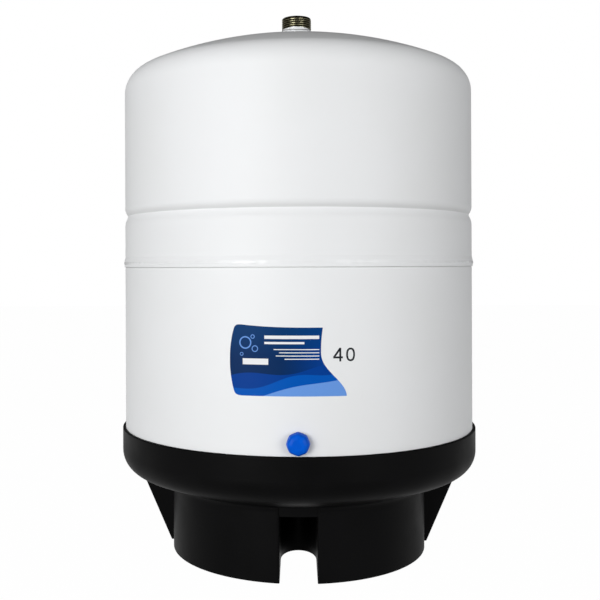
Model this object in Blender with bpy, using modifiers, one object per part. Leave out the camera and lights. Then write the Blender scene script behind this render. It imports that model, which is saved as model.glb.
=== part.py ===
"""Reverse osmosis storage tank: a two-part steel shell with a lined water chamber and a diaphragm inside,
a threaded water connection on top, an air valve low on the front and a moulded stand underneath.

Metres, +Z up. The origin is on the floor under the tank's axis, and the front, with the air valve, faces -Y.
"""

from math import asin, atan2, cos, hypot, pi, radians, sin, sqrt, tan

import bmesh
import bpy
from mathutils import Matrix, Vector

MM = 0.001

# Facets round the turned pieces
TANK_STEPS = 40
CONNECTION_STEPS = 24
VALVE_STEPS = 20
HEAD_STEPS = 4
LINING_STEPS = 2
FILLET_STEPS = 3
CUP_STEPS = 5

# Clearance left between pieces that touch
GAP = 0.3 * MM

# Steel shell: outer sizes, with torispherical heads
TANK_RADIUS = 190 * MM
KNUCKLE_RADIUS = 27 * MM
CROWN_RADIUS = 430 * MM
STRAIGHT_LENGTH = 378 * MM
SHEET = 1.2 * MM
TANK_LIFT = 116 * MM

# Lap seam, above the start of the lower knuckle
SEAM_HEIGHT = 190.4 * MM
LAP_LENGTH = 6.6 * MM
LAP_PROUD = 1 * MM
JOGGLE_LENGTH = 4 * MM
TUCK_LENGTH = 1.5 * MM

# Rolled groove that locks the clench ring, above the seam
GROOVE_ABOVE_SEAM = 53.8 * MM
GROOVE_DEPTH = 3.3 * MM
GROOVE_UPPER_FLANK = 5.6 * MM
GROOVE_LOWER_FLANK = 7.6 * MM

# Water connection
CONNECTION_RADIUS = 16.2 * MM
CONNECTION_BORE = 11 * MM
CONNECTION_RISE = 27.6 * MM
CONNECTION_CHAMFER = 1 * MM
WELD_WIDTH = 2.2 * MM
WELD_HEIGHT = 4.6 * MM
FLANGE_RADIUS = 24 * MM
FLANGE_THICKNESS = 3.5 * MM
SOCKET_RADIUS = 13.8 * MM
SOCKET_DEPTH = 6.8 * MM

# Liner, diaphragm and clench ring
LINER_THICKNESS = 1.5 * MM
LINER_GAP = 0.9 * MM
NECK_RADIUS = 11.2 * MM
DIAPHRAGM_THICKNESS = 2 * MM
BEAD_WIDTH = 6.4 * MM
BEAD_HEIGHT = 12.9 * MM
CLENCH_HEIGHT = 25.5 * MM
CLENCH_ABOVE_GROOVE = 12.3 * MM
CLENCH_LIP = 12.4 * MM

# Moulded stand
STAND_WALL = 3 * MM
CUP_WRAP = 18.3 * MM
SKIRT_INSET = 51.4 * MM
SKIRT_FILLET = 7 * MM
BEND_RELIEF = 5.8 * MM
RIM_FILLET = 1.2 * MM
GUSSET_FOOT = 3.4 * MM
GUSSET_LIFT = 1.4 * MM
GUSSET_THICKNESS = 3.2 * MM
GUSSET_TIP = radians(31)

# Recess in the front of the stand, a channel that runs in under the tank
RECESS_HALF_WIDTH = 18.5 * MM
RECESS_CEILING = 64.5 * MM
RECESS_TOP = 82.6 * MM
LINTEL_SETBACK = 1.5 * MM
RECESS_STRAIGHT_END = 64 * MM
RECESS_ROUND_DEPTH = 30 * MM
RECESS_ROUND_STEPS = 10

# Air valve on the front, with its cap
STEM_RADIUS = 3.85 * MM
STEM_BORE = 2.75 * MM
STEM_REACH = 8 * MM
STEM_FLANGE_RADIUS = 7 * MM
STEM_FLANGE_THICKNESS = 1.6 * MM
GASKET_RADIUS = 8 * MM
GASKET_THICKNESS = 1.6 * MM
WASHER_RADIUS = 7.2 * MM
WASHER_THICKNESS = 0.8 * MM
NUT_ACROSS_FLATS = 12 * MM
NUT_THICKNESS = 2.8 * MM
CAP_RADIUS = 10.9 * MM
CAP_FACE_RADIUS = 5.5 * MM
CAP_LENGTH = 9.4 * MM
CAP_SKIRT_LENGTH = 2.2 * MM
CAP_SKIRT_BORE = 8 * MM
CAP_SIDES = 8
CAP_ABOVE_RIM = 1 * MM
CAP_SEAL_THICKNESS = 1.2 * MM
CAP_SEAL_HOLE = 2 * MM

# Valve core inside the stem
CORE_RADIUS = 2.4 * MM
CORE_LENGTH = 8.4 * MM
CORE_RECESS = 0.7 * MM
CORE_HOLE = 0.95 * MM
SPRING_WELL_RADIUS = 1.75 * MM
SPRING_WELL_DEPTH = 6 * MM
CORE_SEAL_WIDTH = 1.4 * MM
CORE_SEAL_DEPTH = 0.5 * MM
PIN_RADIUS = 0.6 * MM
PIN_COLLAR_RADIUS = 1.4 * MM
PIN_COLLAR_THICKNESS = 0.8 * MM
PIN_STROKE = 1 * MM
PIN_WASHER_RADIUS = 1.9 * MM
PIN_WASHER_THICKNESS = 1.2 * MM
PIN_HEAD_THICKNESS = 0.6 * MM
SPRING_WIRE = 0.3 * MM
SPRING_TURNS = 5

# Sticker on the front, as it is seen from straight ahead: heights above the seam's foot are negative
LABEL_LEFT = -62.8 * MM
LABEL_CORNER = -56.5 * MM
LABEL_TOP_RIGHT = 23.2 * MM
LABEL_FOOT_RIGHT = 44.8 * MM
LABEL_TOP_LEFT_DROP = 51.6 * MM
LABEL_TOP_RIGHT_DROP = 54.8 * MM
LABEL_FOOT_DROP = 118 * MM
LABEL_WAIST = 21.4 * MM
LABEL_SWEEP = 0.64
LABEL_THICKNESS = 0.25 * MM
LABEL_CURVE_STEPS = 8
LABEL_TOP_STEPS = 4

# Heights and places that follow from the sizes above
HEAD_HEIGHT = CROWN_RADIUS - sqrt((CROWN_RADIUS - KNUCKLE_RADIUS) ** 2 - (TANK_RADIUS - KNUCKLE_RADIUS) ** 2)
HEAD_TURN = asin((TANK_RADIUS - KNUCKLE_RADIUS) / (CROWN_RADIUS - KNUCKLE_RADIUS))
UPPER_HEAD_Z = TANK_LIFT + STRAIGHT_LENGTH
APEX_Z = UPPER_HEAD_Z + HEAD_HEIGHT
SEAM_Z = TANK_LIFT + SEAM_HEIGHT
GROOVE_Z = SEAM_Z + GROOVE_ABOVE_SEAM
CONNECTION_TOP = APEX_Z + CONNECTION_RISE
SKIRT_RADIUS = TANK_RADIUS - SKIRT_INSET
RIM_Z = TANK_LIFT + CUP_WRAP
CUP_SLOPE = asin(SKIRT_RADIUS / CROWN_RADIUS)
CUP_BEND = KNUCKLE_RADIUS - BEND_RELIEF
VALVE_Z = RIM_Z + CAP_ABOVE_RIM + CAP_RADIUS

WHITE_PAINT = ("white_paint", (0.78, 0.79, 0.80), 0.28, 0.0)
BLACK_PLASTIC = ("black_plastic", (0.010, 0.010, 0.011), 0.45, 0.0)
YELLOW_ZINC = ("yellow_zinc", (0.42, 0.34, 0.12), 0.30, 1.0)
LINER_PLASTIC = ("liner_plastic", (0.66, 0.70, 0.72), 0.50, 0.0)
BUTYL = ("butyl_rubber", (0.015, 0.015, 0.015), 0.70, 0.0)
PLATED_STEEL = ("plated_steel", (0.55, 0.56, 0.57), 0.35, 1.0)
BRASS = ("brass", (0.62, 0.45, 0.16), 0.30, 1.0)
SPRING_STEEL = ("spring_steel", (0.50, 0.50, 0.52), 0.30, 1.0)
SEAL_RUBBER = ("seal_rubber", (0.02, 0.02, 0.02), 0.65, 0.0)
SEAL_PLASTIC = ("seal_plastic", (0.85, 0.85, 0.82), 0.40, 0.0)
BLUE_PLASTIC = ("blue_plastic", (0.0, 0.09, 0.74), 0.35, 0.0)
LABEL_FILM = ("label_film", (0.01, 0.06, 0.28), 0.30, 0.0)


def clear_scene():
    """Removes whatever the scene holds."""
    for obj in list(bpy.data.objects):
        bpy.data.objects.remove(obj)


def new_collection(name):
    collection = bpy.data.collections.new(name)
    bpy.context.scene.collection.children.link(collection)
    return collection


def material(finish):
    """The Principled material of a finish: its name, colour, roughness and metallic value."""
    name, colour, roughness, metallic = finish
    found = bpy.data.materials.get(name)
    if found:
        return found
    made = bpy.data.materials.new(name)
    made.use_nodes = True
    made.diffuse_color = (*colour, 1)
    shader = made.node_tree.nodes["Principled BSDF"]
    shader.inputs["Base Color"].default_value = (*colour, 1)
    shader.inputs["Roughness"].default_value = roughness
    shader.inputs["Metallic"].default_value = metallic
    return made


def add_object(name, data, finish, parent=None):
    """Links a finished part, or a cutter where finish is None."""
    obj = bpy.data.objects.new(name, data)
    if finish:
        PARTS.objects.link(obj)
        data.materials.append(material(finish))
    else:
        CUTTERS.objects.link(obj)
        obj.hide_render = True
        obj.display_type = "WIRE"
    if parent:
        obj.parent = parent
    return obj


def boolean(obj, other, operation):
    modifier = obj.modifiers.new(other.name, "BOOLEAN")
    modifier.operation = operation
    modifier.solver = "EXACT"
    modifier.object = other


def smooth(mesh, angle=radians(32)):
    """Smooth shading, with the edges sharper than the angle left crisp."""
    mesh.shade_smooth()
    mesh.set_sharp_from_angle(angle=angle)


def split_at_axis(loop):
    """The loop cut open where it runs along the axis, and whether it is still closed."""
    for i in range(len(loop)):
        if loop[i - 1][0] == 0 and loop[i][0] == 0:
            return loop[i:] + loop[:i], False
    return loop, True


def turned(name, loop, steps, finish, parent=None):
    """A solid turned about Z from a loop of (radius, height) points that runs down its outer side."""
    points, closed = split_at_axis(list(loop))
    count = len(points)
    edges = [(i, (i + 1) % count) for i in range(count if closed else count - 1)]
    mesh = bpy.data.meshes.new(name)
    mesh.from_pydata([(r, 0, z) for r, z in points], edges, [])
    obj = add_object(name, mesh, finish, parent)
    screw = obj.modifiers.new("Turn", "SCREW")
    screw.steps = screw.render_steps = steps
    screw.use_merge_vertices = True
    screw.merge_threshold = 1e-5
    screw.use_smooth_shade = True
    return obj


def flat_solid(name, outline, low, high, finish, place=Matrix()):
    """A flat outline of (x, y) points with a thickness from low to high along its own Z, as a welded mesh."""
    curve = bpy.data.curves.new(name, "CURVE")
    curve.dimensions = "2D"
    curve.fill_mode = "BOTH"
    curve.extrude = (high - low) / 2
    spline = curve.splines.new("POLY")
    spline.points.add(len(outline) - 1)
    for point, (x, y) in zip(spline.points, outline):
        point.co = (x, y, 0, 1)
    spline.use_cyclic_u = True
    guide = bpy.data.objects.new(name + "_outline", curve)
    bpy.context.scene.collection.objects.link(guide)
    graph = bpy.context.evaluated_depsgraph_get()
    mesh = bpy.data.meshes.new_from_object(guide.evaluated_get(graph))
    bpy.data.objects.remove(guide)
    mesh.transform(place @ Matrix.Translation((0, 0, (low + high) / 2)))
    solid = bmesh.new()
    solid.from_mesh(mesh)
    bmesh.ops.remove_doubles(solid, verts=solid.verts, dist=1e-6)
    bmesh.ops.recalc_face_normals(solid, faces=solid.faces)
    solid.to_mesh(mesh)
    solid.free()
    mesh.materials.clear()
    return add_object(name, mesh, finish)


def offset(points, distance):
    """The line moved to its right-hand side, with mitred corners. A point on the axis stays on it."""
    sides = []
    for (r0, z0), (r1, z1) in zip(points, points[1:]):
        length = hypot(r1 - r0, z1 - z0)
        sides.append(((z1 - z0) / length, (r0 - r1) / length))
    moved = []
    for i, (r, z) in enumerate(points):
        before = sides[max(i - 1, 0)]
        after = sides[min(i, len(sides) - 1)]
        if r == 0:
            before = (-after[0], after[1]) if i == 0 else before
            after = (-before[0], before[1]) if i == len(sides) else after
        scale = distance / (1 + before[0] * after[0] + before[1] * after[1])
        moved.append((r + scale * (before[0] + after[0]), z + scale * (before[1] + after[1])))
    return moved


def band(outer, thickness):
    """The closed section of a sheet, given its outer line from the top down."""
    return list(outer) + offset(outer, thickness)[::-1]


def rounded(corners, steps=FILLET_STEPS):
    """The points of an open outline of (r, z, fillet radius) corners, with each fillet drawn as an arc."""
    points = []
    for i, (r, z, fillet) in enumerate(corners):
        if fillet == 0 or i in (0, len(corners) - 1):
            points.append((r, z))
            continue
        corner = Vector((r, z))
        back = (Vector(corners[i - 1][:2]) - corner).normalized()
        on = (Vector(corners[i + 1][:2]) - corner).normalized()
        half = back.angle(on) / 2
        centre = corner + (back + on).normalized() * fillet / sin(half)
        start = corner + back * fillet / tan(half) - centre
        end = corner + on * fillet / tan(half) - centre
        first = atan2(start.y, start.x)
        turn = (atan2(end.y, end.x) - first + pi) % (2 * pi) - pi
        for step in range(steps + 1):
            angle = first + turn * step / steps
            points.append((centre.x + fillet * cos(angle), centre.y + fillet * sin(angle)))
    return points


def head(inset, start=0.0, steps=HEAD_STEPS):
    """A head's line from near the axis to the straight wall, as (radius, height over the knuckle's start)."""
    crown = CROWN_RADIUS - inset
    knuckle = KNUCKLE_RADIUS - inset
    angles = [asin(start / crown)] + [HEAD_TURN * i / steps for i in range(1, steps + 1)]
    points = [(crown * sin(a), HEAD_HEIGHT - CROWN_RADIUS + crown * cos(a)) for a in angles]
    for i in range(1, steps + 1):
        angle = HEAD_TURN + (pi / 2 - HEAD_TURN) * i / steps
        points.append((TANK_RADIUS - KNUCKLE_RADIUS + knuckle * sin(angle), knuckle * cos(angle)))
    return points


def upper_head(inset, start=0.0, steps=HEAD_STEPS):
    return [(r, UPPER_HEAD_Z + h) for r, h in head(inset, start, steps)]


def lower_head(inset):
    """The lower head's line from the straight wall down to the axis."""
    return [(r, TANK_LIFT - h) for r, h in reversed(head(inset))]


def under_head(radius, clearance):
    """The height on the lower crown at a radius, with a clearance below it."""
    return TANK_LIFT - HEAD_HEIGHT + CROWN_RADIUS - sqrt((CROWN_RADIUS + clearance) ** 2 - radius**2)


def groove_line():
    """The shell's outer line over the rolled groove."""
    return [
        (TANK_RADIUS, GROOVE_Z + 2 * GROOVE_UPPER_FLANK),
        (TANK_RADIUS, GROOVE_Z + GROOVE_UPPER_FLANK),
        (TANK_RADIUS - GROOVE_DEPTH, GROOVE_Z),
        (TANK_RADIUS, GROOVE_Z - GROOVE_LOWER_FLANK),
        (TANK_RADIUS, GROOVE_Z - 2 * GROOVE_LOWER_FLANK),
    ]


def build_upper_shell():
    hole = CONNECTION_RADIUS + GAP
    lap = TANK_RADIUS + LAP_PROUD
    lap_top = SEAM_Z + LAP_LENGTH
    outer = upper_head(0, hole) + groove_line()[1:-1]
    outer += [(TANK_RADIUS, lap_top + JOGGLE_LENGTH), (lap, lap_top), (lap, SEAM_Z)]
    turned("upper_shell", band(outer, SHEET), TANK_STEPS, WHITE_PAINT)


def build_lower_shell(valve_axis):
    tucked = TANK_RADIUS + LAP_PROUD - SHEET - GAP
    outer = [(tucked, SEAM_Z + LAP_LENGTH - GAP), (tucked, SEAM_Z), (TANK_RADIUS, SEAM_Z - TUCK_LENGTH)]
    shell = turned("lower_shell", band(outer + lower_head(0), SHEET), TANK_STEPS, WHITE_PAINT)
    radius = STEM_RADIUS + GAP
    reach = TANK_RADIUS - GASKET_RADIUS
    far = TANK_RADIUS + GASKET_RADIUS
    loop = [(0, far), (radius, far), (radius, reach), (0, reach)]
    boolean(shell, turned("valve_hole", loop, VALVE_STEPS, None, valve_axis), "DIFFERENCE")


def flange_top():
    """The height of the connection's flange, just under the upper shell's inner face."""
    crown = CROWN_RADIUS - SHEET - GAP
    return APEX_Z - CROWN_RADIUS + sqrt(crown**2 - FLANGE_RADIUS**2)


def build_water_connection():
    top = flange_top()
    foot = top - FLANGE_THICKNESS
    shoulder = APEX_Z + GAP
    weld = CONNECTION_RADIUS + WELD_WIDTH
    loop = [
        (CONNECTION_BORE, CONNECTION_TOP),
        (CONNECTION_RADIUS - CONNECTION_CHAMFER, CONNECTION_TOP),
        (CONNECTION_RADIUS, CONNECTION_TOP - CONNECTION_CHAMFER),
        (CONNECTION_RADIUS, shoulder + WELD_HEIGHT),
        (weld, shoulder + WELD_HEIGHT - WELD_WIDTH),
        (weld, shoulder),
        (CONNECTION_RADIUS, shoulder),
        (CONNECTION_RADIUS, top),
        (FLANGE_RADIUS, top),
        (FLANGE_RADIUS, foot),
        (SOCKET_RADIUS, foot),
        (SOCKET_RADIUS, foot + SOCKET_DEPTH),
        (CONNECTION_BORE, foot + SOCKET_DEPTH),
    ]
    turned("water_connection", loop, CONNECTION_STEPS, YELLOW_ZINC)


def build_connection_o_ring():
    """The ring that seals the liner's neck in the connection's socket."""
    space = SOCKET_RADIUS - NECK_RADIUS
    bpy.ops.mesh.primitive_torus_add(
        major_radius=NECK_RADIUS + space / 2,
        minor_radius=space / 2 - GAP / 2,
        major_segments=CONNECTION_STEPS,
        minor_segments=8,
        location=(0, 0, flange_top() - FLANGE_THICKNESS + space / 2 + GAP),
    )
    ring = bpy.context.active_object
    ring.name = ring.data.name = "connection_o_ring"
    for collection in list(ring.users_collection):
        collection.objects.unlink(ring)
    PARTS.objects.link(ring)
    ring.data.materials.append(material(SEAL_RUBBER))
    smooth(ring.data)


def throat():
    """The radius inside the clench ring where the groove presses it in furthest, less the clearance."""
    return min(r for r, z in offset(groove_line(), 2 * SHEET + GAP)) - GAP


def lining():
    """The liner's outer line, from the axis under the connection's flange to its rim in the clench ring."""
    inset = SHEET + LINER_GAP
    wall = TANK_RADIUS - inset
    flat = flange_top() - FLANGE_THICKNESS - GAP
    rim = throat()
    shoulder = GROOVE_Z + CLENCH_ABOVE_GROOVE + 2 * GAP
    edge = FLANGE_RADIUS + 2 * FLANGE_THICKNESS
    line = [(0, flat), (FLANGE_RADIUS + FLANGE_THICKNESS / 2, flat)] + upper_head(inset, edge, LINING_STEPS)
    line += [(wall, shoulder + 2 * GROOVE_DEPTH), (rim, shoulder), (rim, GROOVE_Z + GROOVE_LOWER_FLANK / 4)]
    return line


def build_liner():
    line = lining()
    neck = [(NECK_RADIUS, flange_top() - FLANGE_THICKNESS + SOCKET_DEPTH - GAP), (NECK_RADIUS, line[0][1])]
    turned("chamber_liner", band(neck + line[1:], LINER_THICKNESS), TANK_STEPS, LINER_PLASTIC)


def build_diaphragm():
    """The diaphragm of an empty tank, pressed up against the liner, with its bead in the clench ring."""
    outer = offset(lining(), LINER_THICKNESS + GAP)
    inner = offset(outer, DIAPHRAGM_THICKNESS)
    bead_top = outer[-1][1] - 2 * GAP
    bead_outer = throat()
    bead = [
        (outer[-1][0], bead_top),
        (bead_outer, bead_top),
        (bead_outer, bead_top - BEAD_HEIGHT),
        (bead_outer - BEAD_WIDTH, bead_top - BEAD_HEIGHT),
        (bead_outer - BEAD_WIDTH, bead_top),
    ]
    turned("diaphragm", outer + bead + inner[::-1], TANK_STEPS, BUTYL)


def build_clench_ring():
    """The flanged ring that clamps the diaphragm's bead to the liner's rim, locked by the shell's groove."""
    wall = offset(groove_line(), SHEET + GAP)[1:-1]
    top = GROOVE_Z + CLENCH_ABOVE_GROOVE
    foot = top - CLENCH_HEIGHT
    radius = wall[0][0]
    outer = [(radius, top)] + wall + [(radius, foot), (radius - CLENCH_LIP, foot)]
    turned("clench_ring", band(outer, SHEET), TANK_STEPS, PLATED_STEEL)


def cup_line(clearance):
    """The cup's line at a clearance from the tank, as (radius, height, fillet): rim, bend and skirt."""
    wall = TANK_RADIUS + clearance
    foot = under_head(SKIRT_RADIUS, clearance)
    corner = foot + (wall - SKIRT_RADIUS) * tan(CUP_SLOPE)
    return [(wall, RIM_Z, 0), (wall, corner, CUP_BEND + clearance), (SKIRT_RADIUS, foot, 0)]


def on_bend(clearance, angle):
    """The point of the cup's bend at a clearance from the tank and an angle out from straight down."""
    wall, corner, bend = cup_line(clearance)[1]
    middle = corner + bend * (1 / cos(CUP_SLOPE) - tan(CUP_SLOPE))
    return wall - bend + bend * sin(angle), middle - bend * cos(angle)


def gusset_outline():
    """A gusset from the skirt's foot out to the cup, as (radius, height), rooted in both walls."""
    middle = GAP + STAND_WALL / 2
    heel = SKIRT_RADIUS - STAND_WALL / 2
    foot = [(heel, GUSSET_LIFT), (SKIRT_RADIUS + GUSSET_FOOT, GUSSET_LIFT)]
    return foot + [on_bend(middle, GUSSET_TIP), on_bend(middle, CUP_SLOPE), (heel, under_head(heel, middle))]


def recess_outline(extra, mouth):
    """The front recess in plan, widened by extra: straight sides from the mouth to a half-ellipse end."""
    half = RECESS_HALF_WIDTH + extra
    depth = RECESS_ROUND_DEPTH + extra
    end = [(half * cos(pi * i / RECESS_ROUND_STEPS), depth * sin(pi * i / RECESS_ROUND_STEPS))
           for i in range(RECESS_ROUND_STEPS + 1)]
    return [(half, -mouth)] + [(x, y - RECESS_STRAIGHT_END) for x, y in end] + [(-half, -mouth)]


def tank_space(name, clearance, ceiling, radius):
    """A helper solid of all that lies over a flat ceiling or over the lower head, out to a radius."""
    nodes = [CROWN_RADIUS * sin(HEAD_TURN * i / HEAD_STEPS) for i in range(HEAD_STEPS + 1)]
    under = [(r, under_head(r, clearance)) for r in nodes if r < radius]
    under = [(r, z) for r, z in under if z < ceiling]
    drop = TANK_LIFT - HEAD_HEIGHT + CROWN_RADIUS - ceiling
    meet = sqrt((CROWN_RADIUS + clearance) ** 2 - drop**2)
    if meet < radius:
        under += [(meet, ceiling), (radius, ceiling)]
    else:
        under += [(radius, under_head(radius, clearance))]
    return turned(name, [(0, RIM_Z), (radius, RIM_Z)] + under[::-1], TANK_STEPS, None)


def build_base_stand():
    """The moulded stand: a cup round the tank, a skirt under it, two gussets and the front recess."""
    rim, bend, foot = cup_line(GAP + STAND_WALL)
    outer = [(rim[0] - STAND_WALL / 2, RIM_Z, 0), (*rim[:2], RIM_FILLET), bend]
    outer += [(*foot[:2], SKIRT_FILLET), (SKIRT_RADIUS, 0, 0)]
    bore = SKIRT_RADIUS - STAND_WALL
    seat = [(bore, 0), (bore, under_head(bore, GAP))]
    loop = rounded(outer, CUP_STEPS) + seat + rounded(cup_line(GAP), CUP_STEPS)[::-1]
    stand = turned("base_stand", loop, TANK_STEPS, BLACK_PLASTIC)

    for side, name in ((1, "right_gusset"), (-1, "left_gusset")):
        upright = Matrix.Rotation(pi / 2, 4, "X")
        half = GUSSET_THICKNESS / 2
        plate = flat_solid(name, [(side * r, z) for r, z in gusset_outline()], -half, half, None, upright)
        boolean(stand, plate, "UNION")

    mouth = sqrt((SKIRT_RADIUS - STAND_WALL / 2) ** 2 - (RECESS_HALF_WIDTH + STAND_WALL) ** 2)
    roof_top = RECESS_CEILING + STAND_WALL
    channel = flat_solid("recess_wall", recess_outline(STAND_WALL, mouth), 0, roof_top, None)
    boolean(channel, tank_space("tank_envelope", GAP, RIM_Z, SKIRT_RADIUS + STAND_WALL), "DIFFERENCE")
    boolean(stand, channel, "UNION")
    void = flat_solid("recess_void", recess_outline(0, TANK_RADIUS), -STAND_WALL, RECESS_TOP, None)
    roof = tank_space("recess_roof", GAP + STAND_WALL, RECESS_CEILING, SKIRT_RADIUS - LINTEL_SETBACK)
    boolean(void, roof, "DIFFERENCE")
    below = [(r, z) for r, z, _ in cup_line(2 * GAP + STAND_WALL)]
    cup = turned("cup_floor", [(0, RIM_Z)] + below + [(0, below[-1][1])], TANK_STEPS, None)
    boolean(void, cup, "DIFFERENCE")
    boolean(stand, void, "DIFFERENCE")


def cap_profile_radius(share):
    """The cap's corner radius along its tapered part, from its skirt to its front face."""
    return CAP_FACE_RADIUS + (CAP_RADIUS - CAP_FACE_RADIUS) * sqrt(1 - share**2)


def valve_places():
    """Distances of the valve's faces from the tank's axis, outwards."""
    ridge = TANK_RADIUS - SHEET
    gasket_out = ridge * cos(asin(GASKET_RADIUS / ridge)) - GAP - GASKET_RADIUS * tan(pi / TANK_STEPS) / 2
    return {
        "gasket": gasket_out - GASKET_THICKNESS,
        "flange": gasket_out - GASKET_THICKNESS - GAP - STEM_FLANGE_THICKNESS,
        "washer": TANK_RADIUS + GAP,
        "nut": TANK_RADIUS + 2 * GAP + WASHER_THICKNESS,
        "stem_end": TANK_RADIUS + STEM_REACH,
        "core_end": TANK_RADIUS + STEM_REACH - CORE_RECESS,
    }


def ring_loop(inner, outer, low, high):
    """The section of a plain ring."""
    return [(inner, high), (outer, high), (outer, low), (inner, low)]


def build_valve_stem(axis):
    at = valve_places()
    loop = [
        (STEM_BORE, at["stem_end"]),
        (STEM_RADIUS - GAP, at["stem_end"]),
        (STEM_RADIUS, at["stem_end"] - GAP),
        (STEM_RADIUS, at["flange"] + STEM_FLANGE_THICKNESS),
        (STEM_FLANGE_RADIUS, at["flange"] + STEM_FLANGE_THICKNESS),
        (STEM_FLANGE_RADIUS, at["flange"]),
        (STEM_BORE, at["flange"]),
    ]
    turned("valve_stem", loop, VALVE_STEPS, BRASS, axis)
    hole = STEM_RADIUS + GAP
    gasket = ring_loop(hole, GASKET_RADIUS, at["gasket"], at["gasket"] + GASKET_THICKNESS)
    turned("valve_gasket", gasket, VALVE_STEPS, SEAL_RUBBER, axis)
    washer = ring_loop(hole, WASHER_RADIUS, at["washer"], at["washer"] + WASHER_THICKNESS)
    turned("valve_washer", washer, VALVE_STEPS, PLATED_STEEL, axis)
    build_lock_nut(axis, at["nut"], hole)


def build_lock_nut(axis, low, hole):
    corner = NUT_ACROSS_FLATS / 2 / cos(pi / 6)
    outline = [(corner * cos(pi * i / 3), corner * sin(pi * i / 3)) for i in range(6)]
    nut = flat_solid("valve_lock_nut", outline, low, low + NUT_THICKNESS, BRASS)
    nut.parent = axis
    bore = ring_loop(0, hole, low - NUT_THICKNESS, low + 2 * NUT_THICKNESS)
    boolean(nut, turned("nut_bore", bore, VALVE_STEPS, None, axis), "DIFFERENCE")


def build_valve_core(axis):
    """The core's body with its seal, and the spring-loaded pin with its washer."""
    top = valve_places()["core_end"]
    foot = top - CORE_LENGTH
    well = top - SPRING_WELL_DEPTH
    groove = (foot + well) / 2
    waist = CORE_RADIUS - CORE_SEAL_DEPTH
    half = CORE_SEAL_WIDTH / 2
    body = [
        (SPRING_WELL_RADIUS, top),
        (CORE_RADIUS, top),
        (CORE_RADIUS, groove + half),
        (waist, groove + half),
        (waist, groove - half),
        (CORE_RADIUS, groove - half),
        (CORE_RADIUS, foot),
        (CORE_HOLE, foot),
        (CORE_HOLE, well),
        (SPRING_WELL_RADIUS, well),
    ]
    turned("valve_core_body", body, VALVE_STEPS, BRASS, axis)
    slack = GAP / 3
    seal = ring_loop(waist + slack, STEM_BORE - slack, groove - half + slack, groove + half - slack)
    turned("valve_core_seal", seal, VALVE_STEPS, SEAL_PLASTIC, axis)

    collar = top - CORE_RECESS - PIN_STROKE
    washer = foot - GAP
    tail = washer - PIN_WASHER_THICKNESS - GAP
    pin = [
        (0, top),
        (PIN_RADIUS, top),
        (PIN_RADIUS, collar),
        (PIN_COLLAR_RADIUS, collar),
        (PIN_COLLAR_RADIUS, collar - PIN_COLLAR_THICKNESS),
        (PIN_RADIUS, collar - PIN_COLLAR_THICKNESS),
        (PIN_RADIUS, tail),
        (PIN_WASHER_RADIUS, tail),
        (PIN_WASHER_RADIUS, tail - PIN_HEAD_THICKNESS),
        (0, tail - PIN_HEAD_THICKNESS),
    ]
    turned("core_pin", pin, VALVE_STEPS // 2, BRASS, axis)
    cup = ring_loop(PIN_RADIUS + slack, PIN_WASHER_RADIUS, washer - PIN_WASHER_THICKNESS, washer)
    turned("core_pin_washer", cup, VALVE_STEPS // 2, SEAL_RUBBER, axis)
    build_core_spring(axis, well + GAP, collar - PIN_COLLAR_THICKNESS - GAP)


def build_core_spring(axis, low, high):
    """The helix between the bottom of the core's well and the pin's collar."""
    radius = (PIN_RADIUS + SPRING_WELL_RADIUS) / 2
    points_per_turn = 8
    count = SPRING_TURNS * points_per_turn + 1
    curve = bpy.data.curves.new("core_spring", "CURVE")
    curve.dimensions = "3D"
    curve.bevel_depth = SPRING_WIRE / 2
    curve.bevel_resolution = 1
    curve.use_fill_caps = True
    spline = curve.splines.new("POLY")
    spline.points.add(count - 1)
    rise = high - low - SPRING_WIRE
    for i, point in enumerate(spline.points):
        angle = 2 * pi * i / points_per_turn
        height = low + SPRING_WIRE / 2 + rise * i / (count - 1)
        point.co = (radius * cos(angle), radius * sin(angle), height, 1)
    add_object("core_spring", curve, SPRING_STEEL, axis)


def build_valve_cap(axis):
    """The faceted screw cap with its skirt over the lock nut, and the rubber disc in it."""
    at = valve_places()
    low = at["nut"] + GAP
    face = low + CAP_LENGTH
    seat = at["stem_end"] + 2 * GAP + CAP_SEAL_THICKNESS
    nut_top = at["nut"] + NUT_THICKNESS
    bore = STEM_RADIUS + GAP
    shoulder = low + CAP_SKIRT_LENGTH
    outer = [(CAP_FACE_RADIUS, face)]
    for share in (0.85, 0.55, 0.0):
        outer.append((cap_profile_radius(share), shoulder + (face - shoulder) * share))
    outer.append((CAP_RADIUS, low))
    body = turned("valve_cap", [(0, face)] + outer + [(0, low)], CAP_SIDES, BLUE_PLASTIC, axis)
    socket = [
        (0, seat),
        (bore, seat),
        (bore, nut_top + GAP),
        (CAP_SKIRT_BORE, nut_top + GAP),
        (CAP_SKIRT_BORE, low - GAP),
        (0, low - GAP),
    ]
    boolean(body, turned("cap_socket", socket, VALVE_STEPS, None, axis), "DIFFERENCE")
    seal = ring_loop(CAP_SEAL_HOLE, STEM_RADIUS, seat - GAP - CAP_SEAL_THICKNESS, seat - GAP)
    turned("cap_seal", seal, VALVE_STEPS, SEAL_RUBBER, axis)


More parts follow.
